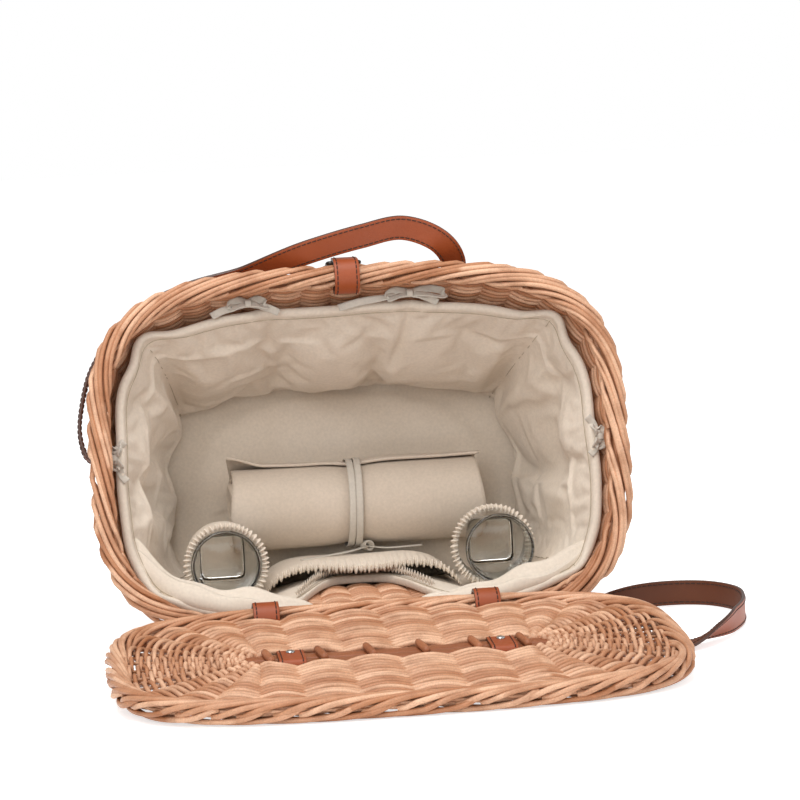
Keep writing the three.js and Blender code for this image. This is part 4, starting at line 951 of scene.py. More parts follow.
def route(stops, count):
    """Points and width directions along a smooth curve through stops, each a point and a direction."""
    points = np.array([at for at, _ in stops], float)
    sides = np.array([side for _, side in stops], float)
    sides /= np.linalg.norm(sides, axis=1)[:, None]
    last = len(points) - 1
    before = np.vstack([2 * points[0] - points[1], points, 2 * points[-1] - points[-2]])
    place = np.linspace(0, last, count)
    at = np.minimum(place.astype(int), last - 1)
    w = (place - at)[:, None]
    p0, p1, p2, p3 = (before[at + k] for k in range(4))
    d0, d1, d2 = (np.linalg.norm(b - a, axis=1)[:, None] ** 0.5 for a, b in ((p0, p1), (p1, p2), (p2, p3)))
    t1 = ((p1 - p0) / d0 - (p2 - p0) / (d0 + d1) + (p2 - p1) / d1) * d1
    t2 = ((p2 - p1) / d1 - (p3 - p1) / (d1 + d2) + (p3 - p2) / d2) * d1
    line = p1 + t1 * w + (-3 * p1 + 3 * p2 - 2 * t1 - t2) * w**2 + (2 * p1 - 2 * p2 + t1 + t2) * w**3
    return line, sides[at] * (1 - w) + sides[at + 1] * w


def strip_faces(line, side, closed=False):
    """Makes the width directions square to the line, and finds the directions that the faces look."""
    if closed:
        along = np.roll(line[:-1], -1, axis=0) - np.roll(line[:-1], 1, axis=0)
        along = np.vstack([along, along[:1]])
    else:
        along = np.gradient(line, axis=0)
    along /= np.linalg.norm(along, axis=1)[:, None]
    side = side - along * np.sum(side * along, axis=1)[:, None]
    side /= np.linalg.norm(side, axis=1)[:, None]
    return side, np.cross(along, side)


def flat_strip(line, side, width):
    """What bends a flat grid into a strip along a line."""

    def bend(u, v):
        at = np.round(u * (len(line) - 1)).astype(int)
        return line[at] + side[at] * ((v - 0.5) * width)[:, None]

    return bend


# Stitches of the leather: pitch, length and thickness, how far they lie from the edge and stand proud.
SEW = {"pitch": 4.4, "length": 3.3, "radius": 0.45}
SEW_INSET, SEW_PROUD = 2.4, 0.25


def strap(
    name, line, side, width, thick, axes, body, nodes, closed=False, faces=(1, -1), finishes=LEATHER_FINISHES
):
    """A stitched strap. faces says which sides carry stitches, by the direction that they look."""
    side, face = strip_faces(line, side, closed)
    bend = flat_strip(line, side, width)
    mesh = bent_sheet(name, len(line) - 1, 6, bend, axes, 0.01 if closed else 0.0)
    made = finish_piece(name, mesh, finishes, body, "leather", *nodes)
    solid = thicken(made, thick)
    solid.material_offset_rim = 1
    solid.material_offset = 2
    round_edge = made.modifiers.new("edge", "BEVEL")
    round_edge.width = 0.4 * MM
    round_edge.segments = 2
    round_edge.limit_method = "ANGLE"
    round_edge.angle_limit = math.radians(50)
    sewn = []
    for look in faces:
        for hand in (-1, 1):
            seam = line + side * hand * (width / 2 - SEW_INSET) + face * look * thick / 2
            sewn += stitches(seam, face * look * SEW_PROUD, **SEW)
    threads = rod_mesh(name + "_stitches", sewn, axes, 0)
    finish_piece(name + "_stitches", threads, STITCH, body, "leather")
    return made


# %% Handles
HANDLE_THICK, STRAP_WIDTH, WALL_HALF = 2.5, 20, 4
HANDLE_FOOT_Z, HANDLE_LEAVE_Z = 105, 150
HANDLE_OUT = WALL_HALF + 0.7 + HANDLE_THICK / 2
HOME_OUT = HANDLE_OUT + 0.15 * STRAP_WIDTH
RUN_OUT = HOME_OUT + 0.45 * STRAP_WIDTH
RUN_Z = RIM_Z - 2 * STRAP_WIDTH
# Routes are drawn in strap widths.
W = STRAP_WIDTH


def front_point(x, z, out):
    """A place on the outside of the front wall, found by x."""
    half_x, half_y = wall_half(z, out)
    return (x, edge(x, half_x, half_y), z)


def left_point(y, z, out):
    """A place on the outside of the left end, found by y."""
    half_x, half_y = wall_half(z, out)
    return (-edge(y, half_y, half_x), y, z)


def front_along(x, z):
    """The direction of the front wall at a place."""
    return (1, (front_point(x + 1, z, WALL_HALF)[1] - front_point(x - 1, z, WALL_HALF)[1]) / 2, 0)


UP = (0, 0, 1)
FRONT_STOPS = [
    (front_point(HANDLE_X, HANDLE_FOOT_Z, HANDLE_OUT), front_along(HANDLE_X, HANDLE_LEAVE_Z)),
    (front_point(HANDLE_X, HANDLE_LEAVE_Z, HANDLE_OUT + 0.06 * W), front_along(HANDLE_X, HANDLE_LEAVE_Z)),
    ((HANDLE_X + 0.15 * W, RIM_HALF_Y + 0.6 * W, RIM_Z - 1.1 * W), (1, 0.1, 0)),
    ((HANDLE_X - 0.55 * W, RIM_HALF_Y + 1.3 * W, RIM_Z - 0.1 * W), (0.75, 0.5, 0.3)),
    ((HANDLE_X - 1.95 * W, RIM_HALF_Y + 1.8 * W, RIM_Z + 0.2 * W), (0.1, 0.85, 0.5)),
    ((HANDLE_X - 3.65 * W, RIM_HALF_Y + 1.5 * W, RIM_Z + 0.4 * W), (0, 0.85, 0.5)),
    ((HANDLE_X - 5.75 * W, RIM_HALF_Y + 1.05 * W, RIM_Z + 0.1 * W), (0, 0.8, 0.6)),
    (front_point(-0.39 * RIM_HALF_X, RIM_Z - 1.3 * W, RUN_OUT), (0, 0.5, 0.85)),
    (front_point(-0.63 * RIM_HALF_X, RIM_Z - 1.7 * W, RUN_OUT), (0, 0.25, 0.95)),
    (front_point(-0.84 * RIM_HALF_X, RUN_Z, RUN_OUT), UP),
    (left_point(0.6 * RIM_HALF_Y, RUN_Z, RUN_OUT), UP),
    (left_point(2.5 * W, RUN_Z, RUN_OUT + 0.2 * W), UP),
    (left_point(1.5 * W, RUN_Z, RUN_OUT + 0.25 * W), UP),
    (left_point(0.7 * W, RUN_Z, HOME_OUT + 0.5 * W), UP),
    (left_point(0.5 * W, RUN_Z, HOME_OUT + 0.25 * W), UP),
    (left_point(0.9 * W, RUN_Z, HOME_OUT + 0.05 * W), UP),
    (left_point(2.25 * W, RUN_Z, HOME_OUT), UP),
    (left_point(0.6 * RIM_HALF_Y, RUN_Z, HOME_OUT), UP),
    (front_point(-0.84 * RIM_HALF_X, RUN_Z, HOME_OUT), UP),
    (front_point(-0.68 * RIM_HALF_X, RUN_Z, HOME_OUT), (0.05, 0, 1)),
    (front_point(-HANDLE_X - 1.35 * W, RUN_Z - 0.25 * W, HOME_OUT), (0.4, 0, 0.9)),
    (front_point(-HANDLE_X - 0.35 * W, RUN_Z - 0.9 * W, HANDLE_OUT + 0.1 * W), (0.85, 0, 0.5)),
    (
        front_point(-HANDLE_X, HANDLE_LEAVE_Z - 1.25 * W, HANDLE_OUT + 0.03 * W),
        front_along(-HANDLE_X, HANDLE_LEAVE_Z),
    ),
    (front_point(-HANDLE_X, HANDLE_FOOT_Z, HANDLE_OUT), front_along(-HANDLE_X, HANDLE_LEAVE_Z)),
]


def handle(name, stops, axes):
    """A carrying handle along its stops, with the tan grain side on the back of its strip."""
    line, side = route(stops, 12 * (len(stops) - 1) + 1)
    strap(f"{name}_strap", line, side, W, HANDLE_THICK, axes, "basket", [name], finishes=GRAIN_BEHIND)
    print(name, "mm:", round(float(run_along(line)[-1])))


handle("front_handle", FRONT_STOPS, BASKET)

# %% The rear handle, caught under the basket
table_shift = BASKET[:3, 3] - placed((0, 0, 0), laid)
drawn_at = (
    0,
    RIM_Z * math.cos(LEAN) + edge(HINGE_X, RIM_HALF_X, RIM_HALF_Y) * math.sin(LEAN),
    FOOT_R + BASE_HALF_Y * math.cos(LEAN) - FOOT_Z * math.sin(LEAN),
)
TABLE = np.eye(4)
TABLE[:3, 3] = table_shift - drawn_at
LOW = HANDLE_THICK / 2 + 0.3
HIGH = W / 2 + 0.6
END = RIM_HALF_X


def under_wall(x, z):
    """A place on the outside of the hinge side's wall, in the table's axes."""
    _, y, _ = front_point(x, z, HANDLE_OUT)
    return placed((x, -y, z), BASKET) - TABLE[:3, 3]


def under_along(x, sign):
    return placed((sign, -sign * front_along(x, HANDLE_LEAVE_Z)[1], 0), laid)


REAR_STOPS = [
    (under_wall(HANDLE_X, HANDLE_FOOT_Z), under_along(HANDLE_X, 1)),
    (under_wall(HANDLE_X, HANDLE_LEAVE_Z - 0.6 * W), under_along(HANDLE_X, 1)),
    ((HANDLE_X + 0.6 * W, 2 * W, LOW + 0.14 * W), (0.7, 0.7, 0)),
    ((HANDLE_X + 2 * W, 1.7 * W, LOW + 0.09 * W), (0, 1, 0)),
    ((END - 1.75 * W, 2.25 * W, LOW + 0.09 * W), (-0.2, 1, 0)),
    ((END, 3.1 * W, HIGH - 0.1 * W), (-0.1, 0.65, 0.75)),
    ((END + 1.75 * W, 3.6 * W, HIGH), UP),
    ((END + 3.5 * W, 3.2 * W, HIGH), UP),
    ((END + 4.45 * W, 1.5 * W, HIGH), UP),
    ((END + 4.25 * W, -W, HIGH), UP),
    ((END + 3.35 * W, -3.3 * W, HIGH), (0.1, -0.1, 1)),
    ((END + 2.15 * W, -4.9 * W, HIGH - 0.1 * W), (0.5, -0.5, 0.6)),
    ((END + 0.85 * W, -5.9 * W, LOW + 0.08 * W), (0.6, -0.8, 0.05)),
    ((END - 1.25 * W, -6.2 * W, LOW), (-0.1, -1, 0)),
    ((HANDLE_X + 1.25 * W, -4.8 * W, LOW), (-0.4, -0.9, 0)),
    ((HANDLE_X - 2.25 * W, -2.9 * W, LOW), (-0.5, -0.85, 0)),
    ((HANDLE_X - 5 * W, -1.1 * W, LOW), (-0.6, -0.8, 0)),
    ((-HANDLE_X + 1.85 * W, 0.4 * W, LOW), (-0.7, -0.7, 0)),
    ((-HANDLE_X + 0.75 * W, 1.7 * W, LOW + 0.05 * W), (-0.85, -0.5, 0)),
    (under_wall(-HANDLE_X, HANDLE_LEAVE_Z - 0.6 * W), under_along(-HANDLE_X, -1)),
    (under_wall(-HANDLE_X, HANDLE_FOOT_Z), under_along(-HANDLE_X, -1)),
]
handle("rear_handle", REAR_STOPS, TABLE)

# %% [markdown]
# ## Hinge loops, closing strap and lid straps
# Each hinge is a loop of leather round the two borders, so its outline is the tight line round two
# circles. The closing strap goes round the rim in the same way and holds the buckle in its fold.

# %% Loops


def round_loop(low, low_r, high, high_r, count):
    """The tight line round two circles in the y-z plane, evenly spaced and closed."""
    low, high = np.array(low), np.array(high)
    tilt = math.atan2(high[1] - low[1], high[0] - low[0])
    swing = math.acos((low_r - high_r) / np.linalg.norm(high - low))
    first = np.linspace(tilt - swing, tilt + swing, 90)
    second = np.linspace(tilt + swing, tilt - swing + 2 * math.pi, 90)
    arcs = [high + high_r * np.column_stack([np.cos(first), np.sin(first)])]
    arcs.append(low + low_r * np.column_stack([np.cos(second), np.sin(second)]))
    path = np.vstack(arcs + [arcs[0][:1]])
    return evened(path, count)


def evened(path, count):
    """Points spaced evenly along a path."""
    run = run_along(path)
    at = np.linspace(0, run[-1], count)
    return np.column_stack([np.interp(at, run, path[:, k]) for k in range(path.shape[1])])


def loop_strap(name, path, x, width, axes, body, nodes):
    line = np.column_stack([np.full(len(path), x), path])
    side = np.tile((1.0, 0.0, 0.0), (len(path), 1))
    return strap(name, line, side, width, LEATHER, axes, body, nodes, True, (1,))


HINGE_Y = -edge(HINGE_X, RIM_HALF_X, RIM_HALF_Y)
for name, sign in (("left", -1), ("right", 1)):
    loop_path = round_loop(
        (HINGE_Y, RIM_Z), LOOP_INNER_R + LEATHER / 2, (LID_AXIS_Y, LID_Z), LID_LOOP_R + LEATHER / 2, 121
    )
    loop_strap(f"hinge_strap_{name}", loop_path, sign * HINGE_X, W, BASKET, "basket", [f"hinge_loop_{name}"])

# %% The closing strap: its turn round the rim, then its tail with holes and a point
BAR_Y, BAR_Z = RIM_HALF_Y + LOOP_OUTER_R - 1, RIM_Z - 9
CLOSER_TAIL, CLOSER_TIP = 92, 12
loop_path = round_loop((RIM_HALF_Y, RIM_Z), LOOP_INNER_R + LEATHER / 2, (BAR_Y, BAR_Z), 2.7, 121)
loop_strap("closing_turn", loop_path, CLOSER_X, W, BASKET, "basket", ["closing_strap"])


def flat_plate(name, outline, holes, thick):
    """A flat plate cut to an outline with round holes, its edges eased."""
    curve = bpy.data.curves.new(name, "CURVE")
    curve.dimensions = "2D"
    curve.fill_mode = "BOTH"
    curve.extrude = (thick / 2 - 0.3) * MM
    curve.bevel_depth = 0.3 * MM
    curve.bevel_resolution = 1
    turn = np.linspace(0, 2 * math.pi, 17)[:-1]
    rings = [np.array(outline, float)]
    rings += [np.column_stack([x + r * np.cos(turn), y + r * np.sin(turn)]) for x, y, r in holes]
    for ring in rings:
        spline = curve.splines.new("POLY")
        spline.points.add(len(ring) - 1)
        flat = np.column_stack([ring * MM, np.zeros(len(ring)), np.ones(len(ring))])
        spline.points.foreach_set("co", flat.ravel())
        spline.use_cyclic_u = True
    mesh = mesh_of_curve(name, curve)
    bm = bmesh.new()
    bm.from_mesh(mesh)
    bmesh.ops.remove_doubles(bm, verts=bm.verts, dist=1e-6)
    bmesh.ops.recalc_face_normals(bm, faces=bm.faces)
    for face in bm.faces:
        face.material_index = 0 if abs(face.normal.z) > 0.9 else 1
    bm.to_mesh(mesh)
    bm.free()
    return mesh


def wall_outside(z):
    return wall_half(z, WALL_HALF + 1.5 + 0.7 + LEATHER / 2)[1]


tail_top = RIM_Z - LOOP_OUTER_R + LEATHER
tail_low = tail_top - CLOSER_TAIL
half = W / 2
shoulder = -CLOSER_TAIL + 9
outline = [(-half, 0), (half, 0), (half, shoulder), (3, -CLOSER_TAIL), (-3, -CLOSER_TAIL), (-half, shoulder)]
HOLE_PITCH, HOLE_R = 13, 2
punched = [(0, -CLOSER_TAIL + CLOSER_TIP + HOLE_PITCH * (k + 1), HOLE_R) for k in range(4)]
tail_mesh = flat_plate("closing_tail", outline, punched, LEATHER)
slope = (wall_outside(tail_top) - wall_outside(tail_low)) / CLOSER_TAIL
down = np.array([0, slope, 1]) / math.hypot(1, slope)
TAIL = np.eye(4)
TAIL[:3, 0] = BASKET[:3, :3] @ (1, 0, 0)
TAIL[:3, 1] = BASKET[:3, :3] @ down
TAIL[:3, 2] = np.cross(TAIL[:3, 0], TAIL[:3, 1])
TAIL[:3, 3] = placed((CLOSER_X, wall_outside(tail_top), tail_top), BASKET)
seat = TAIL.copy()
seat[:3, 3] *= MM
tail_mesh.transform(Matrix(seat.tolist()))
finish_piece("closing_tail", tail_mesh, LEATHER_FINISHES, "basket", "leather")
# A flat face with holes shades evenly only where its edges are kept sharp.
tail_mesh.set_sharp_from_angle(angle=math.radians(20))
sewn = []
for hand in (-1, 1):
    across = hand * (half - SEW_INSET)
    seam = np.linspace((across, -4, -LEATHER / 2), (across, 10 - CLOSER_TAIL, -LEATHER / 2), 40)
    sewn += stitches(seam, np.tile((0, 0, -SEW_PROUD), (40, 1)), **SEW)
threads = rod_mesh("closing_tail_stitches", sewn, TAIL, 0)
finish_piece("closing_tail_stitches", threads, STITCH, "basket", "leather")

# %% Lid tabs and lid straps
LATH_LOW = -2
TAB_LOW, TAB_HIGH, TAB_HALF = LATH_LOW - 0.4 - LEATHER, 5 + 0.4 + LEATHER, 16.9
OUTER_STRAP_Z = 6.7
corner_turn = np.linspace(0, math.pi / 2, 7)


def rounded_box(half, low, high, radius):
    """A closed rectangle in the y-z plane with rounded corners, about the lid's middle."""
    corners = [(half, high), (-half, high), (-half, low), (half, low)]
    path = []
    for k, (y, z) in enumerate(corners):
        centre = (y - math.copysign(radius, y), z - radius if z == high else z + radius)
        turn = corner_turn + k * math.pi / 2
        path.append(np.column_stack([centre[0] + radius * np.cos(turn), centre[1] + radius * np.sin(turn)]))
    return evened(np.vstack(path + [path[0][:1]]) + (LID_MIDDLE_Y, 0), 121)


mid = LEATHER / 2
loop_path = rounded_box(TAB_HALF - mid, TAB_LOW + mid, TAB_HIGH - mid, 3.5)
for name, sign in (("left", -1), ("right", 1)):
    loop_strap(f"lid_tab_strap_{name}", loop_path, sign * TAB_X, W, LID, "lid", [f"lid_tab_{name}"])
    from_loop = (sign * HINGE_X, LID_LOOP_R + 2 * LEATHER, OUTER_STRAP_Z)
    to_tab = (sign * TAB_X, LID_MIDDLE_Y - TAB_HALF - 1.2, OUTER_STRAP_Z)
    line, side = route([(from_loop, (1, 0, 0)), (to_tab, (1, 0, 0))], 30)
    strap(
        f"lid_outer_strap_{name}", line, side, W - 2, LEATHER, LID, "lid", [f"lid_strap_{name}"],
        faces=(-1,), finishes=GRAIN_BEHIND,
    )

# %% [markdown]
# ## Glass tumblers
# Pressed glass with a thick square foot that turns round towards the mouth. The wall is real, with an
# outer and an inner surface, because glass only looks like glass where light crosses both.

# %% Clear pressed glass
GLASS, tree, shader = new_finish("soda-lime glass, pressed and fire-polished")
shader.inputs["Base Color"].default_value = linear("#f3f7f6")
shader.inputs["Roughness"].default_value = 0.02
shader.inputs["IOR"].default_value = 1.52
shader.inputs["Transmission Weight"].default_value = 1.0
place = add(tree, "TexCoord")
# The mould leaves the surface faintly wavy, a few millimetres from crest to crest.
waves = add(tree, "TexNoise", {"Vector": place.outputs["Object"], "Scale": 160, "Detail": 1})
ripple = add(tree, "Bump", {"Strength": 0.06, "Distance": 0.0004, "Height": waves.outputs[0]})
tree.links.new(ripple.outputs["Normal"], shader.inputs["Normal"])
print("glass:", GLASS.name)

# %% Tumblers
GLASS_WALL, GLASS_BOTTOM = 2.6, 9


def glass_profile():
    """Half size, height and squareness along the section: foot, outside, mouth, inside, bottom."""
    widening = GLASS_MOUTH_R - GLASS_BASE_HALF
    foot = [(0, 0, 0), (0.5, 0, 0), (0.86, 0, 0), (0.96, 0.6, 0), (1, 2.2, 0)]
    section = [(share * GLASS_BASE_HALF, z, part) for share, z, part in foot]
    for part in np.linspace(0.08, 0.97, 14):
        section.append((GLASS_BASE_HALF + widening * part, part * GLASS_HEIGHT, part))
    mouth = GLASS_MOUTH_R - GLASS_WALL / 2
    for turn in np.linspace(0, math.pi, 7):
        lip_z = GLASS_HEIGHT - 1.2 + 1.2 * math.sin(turn)
        section.append((mouth + GLASS_WALL / 2 * math.cos(turn), lip_z, 1))
    for part in np.linspace(0.95, 0.06, 14):
        z = GLASS_BOTTOM + part * (GLASS_HEIGHT - GLASS_BOTTOM)
        section.append((GLASS_BASE_HALF + widening * z / GLASS_HEIGHT - GLASS_WALL, z, part))
    floor_half = GLASS_BASE_HALF + widening * GLASS_BOTTOM / GLASS_HEIGHT - GLASS_WALL
    bottom = [(0.97, 1), (0.88, 0.2), (0.5, 0), (0, 0)]
    section += [(share * floor_half, GLASS_BOTTOM + lift, 0) for share, lift in bottom]
    return np.array(section)


section = glass_profile()


def tumbler(u, v):
    half, z, part = section[np.round(v * (len(section) - 1)).astype(int)].T
    power = 2 + 5 * (1 - part) ** 2
    x, y = oval(u * 2 * np.pi, half, half, power)
    return np.column_stack([x, y, z])


for name, axes in GLASS_AXES.items():
    glass_mesh = bent_sheet(f"{name}_glass", 80, len(section) - 1, tumbler, axes, 0.005)
    finish_piece(f"{name}_glass", glass_mesh, GLASS, f"{name}_body", "glass", name)
    print(name, "faces", len(glass_mesh.polygons))

# %% [markdown]
# ## Elastic sleeves and the wide pocket
# Elastic in a hem gathers the cloth into small even ruffles. A ruffled edge is a tube whose size and
# place wave many times along its length, so that it looks pinched at every stitch.

# %% Ruffled edges


def ruffle(name, line, out, up, size, pitch, axes, closed):
    """A gathered elastic edge along a line. out and up are the directions across it."""
    count = len(line) - 1
    run = run_along(line)
    ruffles = round(run[-1] / pitch)
    # An open edge tapers to a point at both ends, so that its tube is closed there.
    taper = np.ones(count + 1) if closed else np.sqrt(np.clip(np.minimum(run, run[-1] - run) / 5, 0, 1))

    def bend(u, v):
        at = np.round(u * count).astype(int)
        way = 2 * np.pi * run[at] / run[-1]
        phase = ruffles * way + 0.9 * np.sin(5 * way) + 0.6 * np.sin(11 * way + 1)
        turn = 2 * np.pi * v
        pinch = taper[at] * (0.8 + 0.2 * np.cos(phase) + 0.06 * np.sin(3 * turn))
        across = size[0] * (pinch * np.cos(turn) + 0.45 * taper[at] * np.sin(phase))
        along = size[1] * (pinch * np.sin(turn) + 0.38 * taper[at] * np.sin(phase + 1.3))
        return line[at] + out[at] * across[:, None] + up[at] * along[:, None]

    mesh = bent_sheet(name, count, 10, bend, axes, 0.005)
    return finish_piece(name, mesh, LINING_CLOTH, "basket", "lining")


# %% Sleeves
turn = np.linspace(0, 2 * np.pi, 449)
ring_out = np.column_stack([np.cos(turn), np.sin(turn), 0 * turn])
ring_up = np.tile((0.0, 0.0, 1.0), (449, 1))
SLEEVE_LOW, SLEEVE_R, SLEEVE_EDGE_R = 12, 29.3, 31.2

for side, high, aside in (("left", 61, 0), ("right", 45, -3.5)):

    def sleeve(u, v):
        """A cloth tube with gathers that deepen towards its elastic mouth."""
        gather = 0.5 * np.sin(56 * 2 * np.pi * u) * smooth_step(v, 0.3, 1)
        radius = SLEEVE_R + gather + 0.8 * np.sin(np.pi * v)
        x = radius * np.cos(2 * np.pi * u) + aside * smooth_step(v, 0, 1)
        return np.column_stack([x, radius * np.sin(2 * np.pi * u), SLEEVE_LOW + (high - SLEEVE_LOW) * v])

    axes = GLASS_AXES[f"tumbler_{side}"]
    tube = bent_sheet(f"sleeve_{side}_tube", 448, 8, sleeve, axes, 0.005)
    made = finish_piece(f"sleeve_{side}_tube", tube, LINING_CLOTH, "basket", "lining", f"sleeve_{side}")
    thicken(made, 1.0)
    ring = SLEEVE_EDGE_R * ring_out + high * ring_up + (aside, 0, 0)
    gathered = ruffle(f"sleeve_{side}_edge", ring, ring_out, ring_up, (2.7, 3.0), 3.7, axes, True)

# %% The wide pocket
POCKET_HALF, POCKET_LOW, POCKET_HIGH = 80, 24, 128


def pocket_back(x, z):
    half_x, half_y = wall_half(z, -LINING_IN)
    y = -edge(x, half_x, half_y)
    return y + caved(x, y, z) + 0.7


def pocket(u, v):
    """The front of the pocket: sewn to the lining below and at its ends, slack towards its mouth."""
    x = (2 * u - 1) * POCKET_HALF
    full = 1 - 0.95 * np.abs(2 * u - 1) ** 8
    z = POCKET_LOW + (POCKET_HIGH - POCKET_LOW) * v
    bulge = np.interp(v, [0, 0.06, 0.28, 0.6, 1], [0, 10, 20, 15, 8])
    bulge = bulge + 8 * (2 * u - 1) ** 2 * smooth_step(v, 0.3, 1)
    gather = 0.8 * np.sin(2 * np.pi * 29 * u) * smooth_step(v, 0.6, 1)
    sag = 1.5 * np.sin(5 * u + 6 * v) * np.sin(np.pi * v)
    return np.column_stack([x, pocket_back(x, z) + full * (bulge + sag + gather), z])


pocket_mesh = bent_sheet("wide_pocket_cloth", 240, 30, pocket, BASKET)
made = finish_piece("wide_pocket_cloth", pocket_mesh, LINING_CLOTH, "basket", "lining", "wide_pocket")
thicken(made, 1.2)
share = np.linspace(0, 1, 421)
mouth = pocket(share, np.ones(421))
mouth[:, 1] += 1.5 * np.sin(9 * share)
flat_out = np.tile((0.0, 1.0, 0.0), (421, 1))
flat_up = np.tile((0.0, 0.0, 1.0), (421, 1))
gathered = ruffle("wide_pocket_edge", mouth, flat_out, flat_up, (2.9, 3.4), 3.8, BASKET, False)
across = pocket(share, np.full(421, 0.8))
upward = pocket(np.full(421, 0.5), share)
print("pocket across and up, mm:", round(float(run_along(across)[-1])), round(float(run_along(upward)[-1])))
behind = np.linspace(-58, 54, 421)
hem_at = hem_height(behind, np.full(421, -140.0)) + 3
back_edge = np.column_stack([behind, pocket_back(behind, hem_at) + 4.5, hem_at])
ruffle("lining_back_edge", back_edge, flat_out, flat_up, (2.8, 3.4), 3.8, BASKET, False)

# %% [markdown]
# ## Hem flaps in front of the tumblers
# On the hinge side the loose hem stands up in soft folds and hides the lower part of each tumbler.
# When a tumbler is drawn out it pushes the fold down. Each flap is a piece of its own,
# drawn here in its standing shape.

# %% Flaps
FLAP_Z, FLAP_ROOT = 174, 6


def hem_flap(side, low_x, high_x, crest):
    """A padded fold between two places along the hinge side, crest mm high at its middle."""

    def bend(u, v):
        x = low_x + (high_x - low_x) * u
        fade = np.sin(np.pi * np.clip(u, 0, 1)) ** 0.45
        turn = 2 * np.pi * v
        lump = 1 + 0.1 * np.sin(10 * u + 1) + 0.07 * np.sin(23 * u)
        crease = 0.24 * near(turn, 1.0 + 0.5 * np.sin(6 * u), 0.22)
        rise = FLAP_ROOT + crest * fade * lump * (0.5 + 0.5 * np.sin(turn) - crease)
        z = FLAP_Z + 11 * fade * np.cos(turn) + 1.5 * np.sin(8 * u)
        half_x, half_y = wall_half(z, -rise)
        return np.column_stack([x, -edge(x, half_x, half_y), z])

    name = f"hem_flap_{side}"
    mesh = bent_sheet(name, 110, 28, bend, BASKET, 0.005)
    made = finish_piece(name, mesh, LINING_CLOTH, "basket", "lining")
    foot = placed(((low_x + high_x) / 2, -wall_half(FLAP_Z, -FLAP_ROOT)[1], FLAP_Z), BASKET) * MM
    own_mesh(made)
    return made


hem_flap("left", -186, -34, 22)
hem_flap("right", 32, 180, 19)
print("flaps: 2")

# %% [markdown]
# ## Tape: the roll's ribbon and the bows of the lining
# Narrow cotton tape is a thin strip. The ribbon passes twice round the roll and is knotted in front;
# each bow is two loops and two tails of one tape, drawn through a knot.

# %% Ribbon


def tape(name, line, side, width, axes, body, slot, nodes=(), closed=False):
    """A strip of woven tape along a line."""
    side, _ = strip_faces(line, side, closed)
    bend = flat_strip(line, side, width)
    mesh = bent_sheet(name, len(line) - 1, 4, bend, axes, 0.005 if closed else 0.0)
    made = finish_piece(name, mesh, TAPE_CLOTH, body, slot, *nodes)
    thicken(made, 0.7)
    return made


turn = np.linspace(0, 2 * np.pi, 181)
for number, offset in ((1, -3.4), (2, 3.4)):
    x = RIBBON_X + offset + 1.2 * np.sin(turn + number)
    radius = 36.9 - 1.0 * near(x, RIBBON_X, 17) + 0.4 * number
    strand = np.column_stack([x, radius * np.cos(turn), radius * np.sin(turn)])
    across = np.tile((1.0, 0.0, 0.0), (181, 1))
    nodes = ["roll_ribbon"] if number == 1 else []
    tape(f"ribbon_strand_{number}", strand, across, 5.6, ROLL, "roll", "tape", nodes, True)

KNOT = np.array([7.0, -37.5, 8.0])
turn = np.linspace(0, 2 * np.pi, 49)
for number, (size, tilt) in enumerate(((4.2, 0.3), (3.4, -0.5))):
    loop = np.column_stack([size * 0.8 * np.cos(turn), 2.6 * np.sin(turn) - 0.4, size * np.sin(turn + tilt)])
    across = np.tile((0.5, 0.2, 0.8), (49, 1))
    tape(f"ribbon_knot_{number + 1}", KNOT + loop, across, 5.0, ROLL, "roll", "tape", (), True)
TAILS = [
    [(7, -38, 8), (-8, -42, 12), (-28, -45.5, 20), (-50, -49, 30)],
    [(7, -38, 8), (22, -40.5, 9), (40, -40.5, 10), (52, -40, 9)],
]
for number, stops in enumerate(TAILS):
    line, across = route([(stop, (0.1, -0.3, 1)) for stop in stops], 40)
    tape(f"ribbon_tail_{number + 1}", line, across, 5.2, ROLL, "roll", "tape")
print("ribbon: 2 strands, 2 knots, 2 tails")

# %% Bows that tie the lining to the wall


def bow(name, centre, along, inward, loops, tails):
    """A bow at a place on the hem. loops and tails reach along the hem, in mm, to either side."""
    turned = np.array([along, inward, UP], float)
    pieces = []
    for reach in loops:
        stops = [(0, 0, 1), (0.5, 2.5, 5), (0.95, 4.5, 4), (1, 0.5, 1), (0.5, -3, 2), (0, -0.3, 1)]
        sides = [(0.2, 1, 0.4), (0.1, 0.7, 0.8), (0.6, 0.5, 0.6)]
        sides += [(0.3, 0.8, -0.5), (0.2, 1, 0.2), (0.2, 1, 0.4)]
        pieces.append(route([((reach * a, b, c), s) for (a, b, c), s in zip(stops, sides)], 46))
    for reach in tails:
        stops = [(0, 0, 1.4), (0.35, 2.8, 2.8), (0.7, 5, 1.2), (1, 9, 2.4)]
        sides = [(0.2, 1, 0.3), (0.4, 0.9, 0.6), (-0.1, 1, -0.4), (0.3, 1, 0.3)]
        pieces.append(route([((reach * a, b, c), s) for (a, b, c), s in zip(stops, sides)], 36))
    for number, (line, across) in enumerate(pieces):
        nodes = [name] if number == 0 else []
        made = f"{name}_tape_{number + 1}"
        tape(made, centre + line @ turned, across @ turned, 6, BASKET, "basket", "tape", nodes)
    turn = np.linspace(0, 2 * np.pi, 33)
    knot = np.column_stack([0 * turn, 3.0 * np.cos(turn), 1.6 + 2.8 * np.sin(turn)])
    across = np.tile(turned[0], (33, 1))
    tape(f"{name}_knot", centre + knot @ turned, across, 5, BASKET, "basket", "tape", (), True)


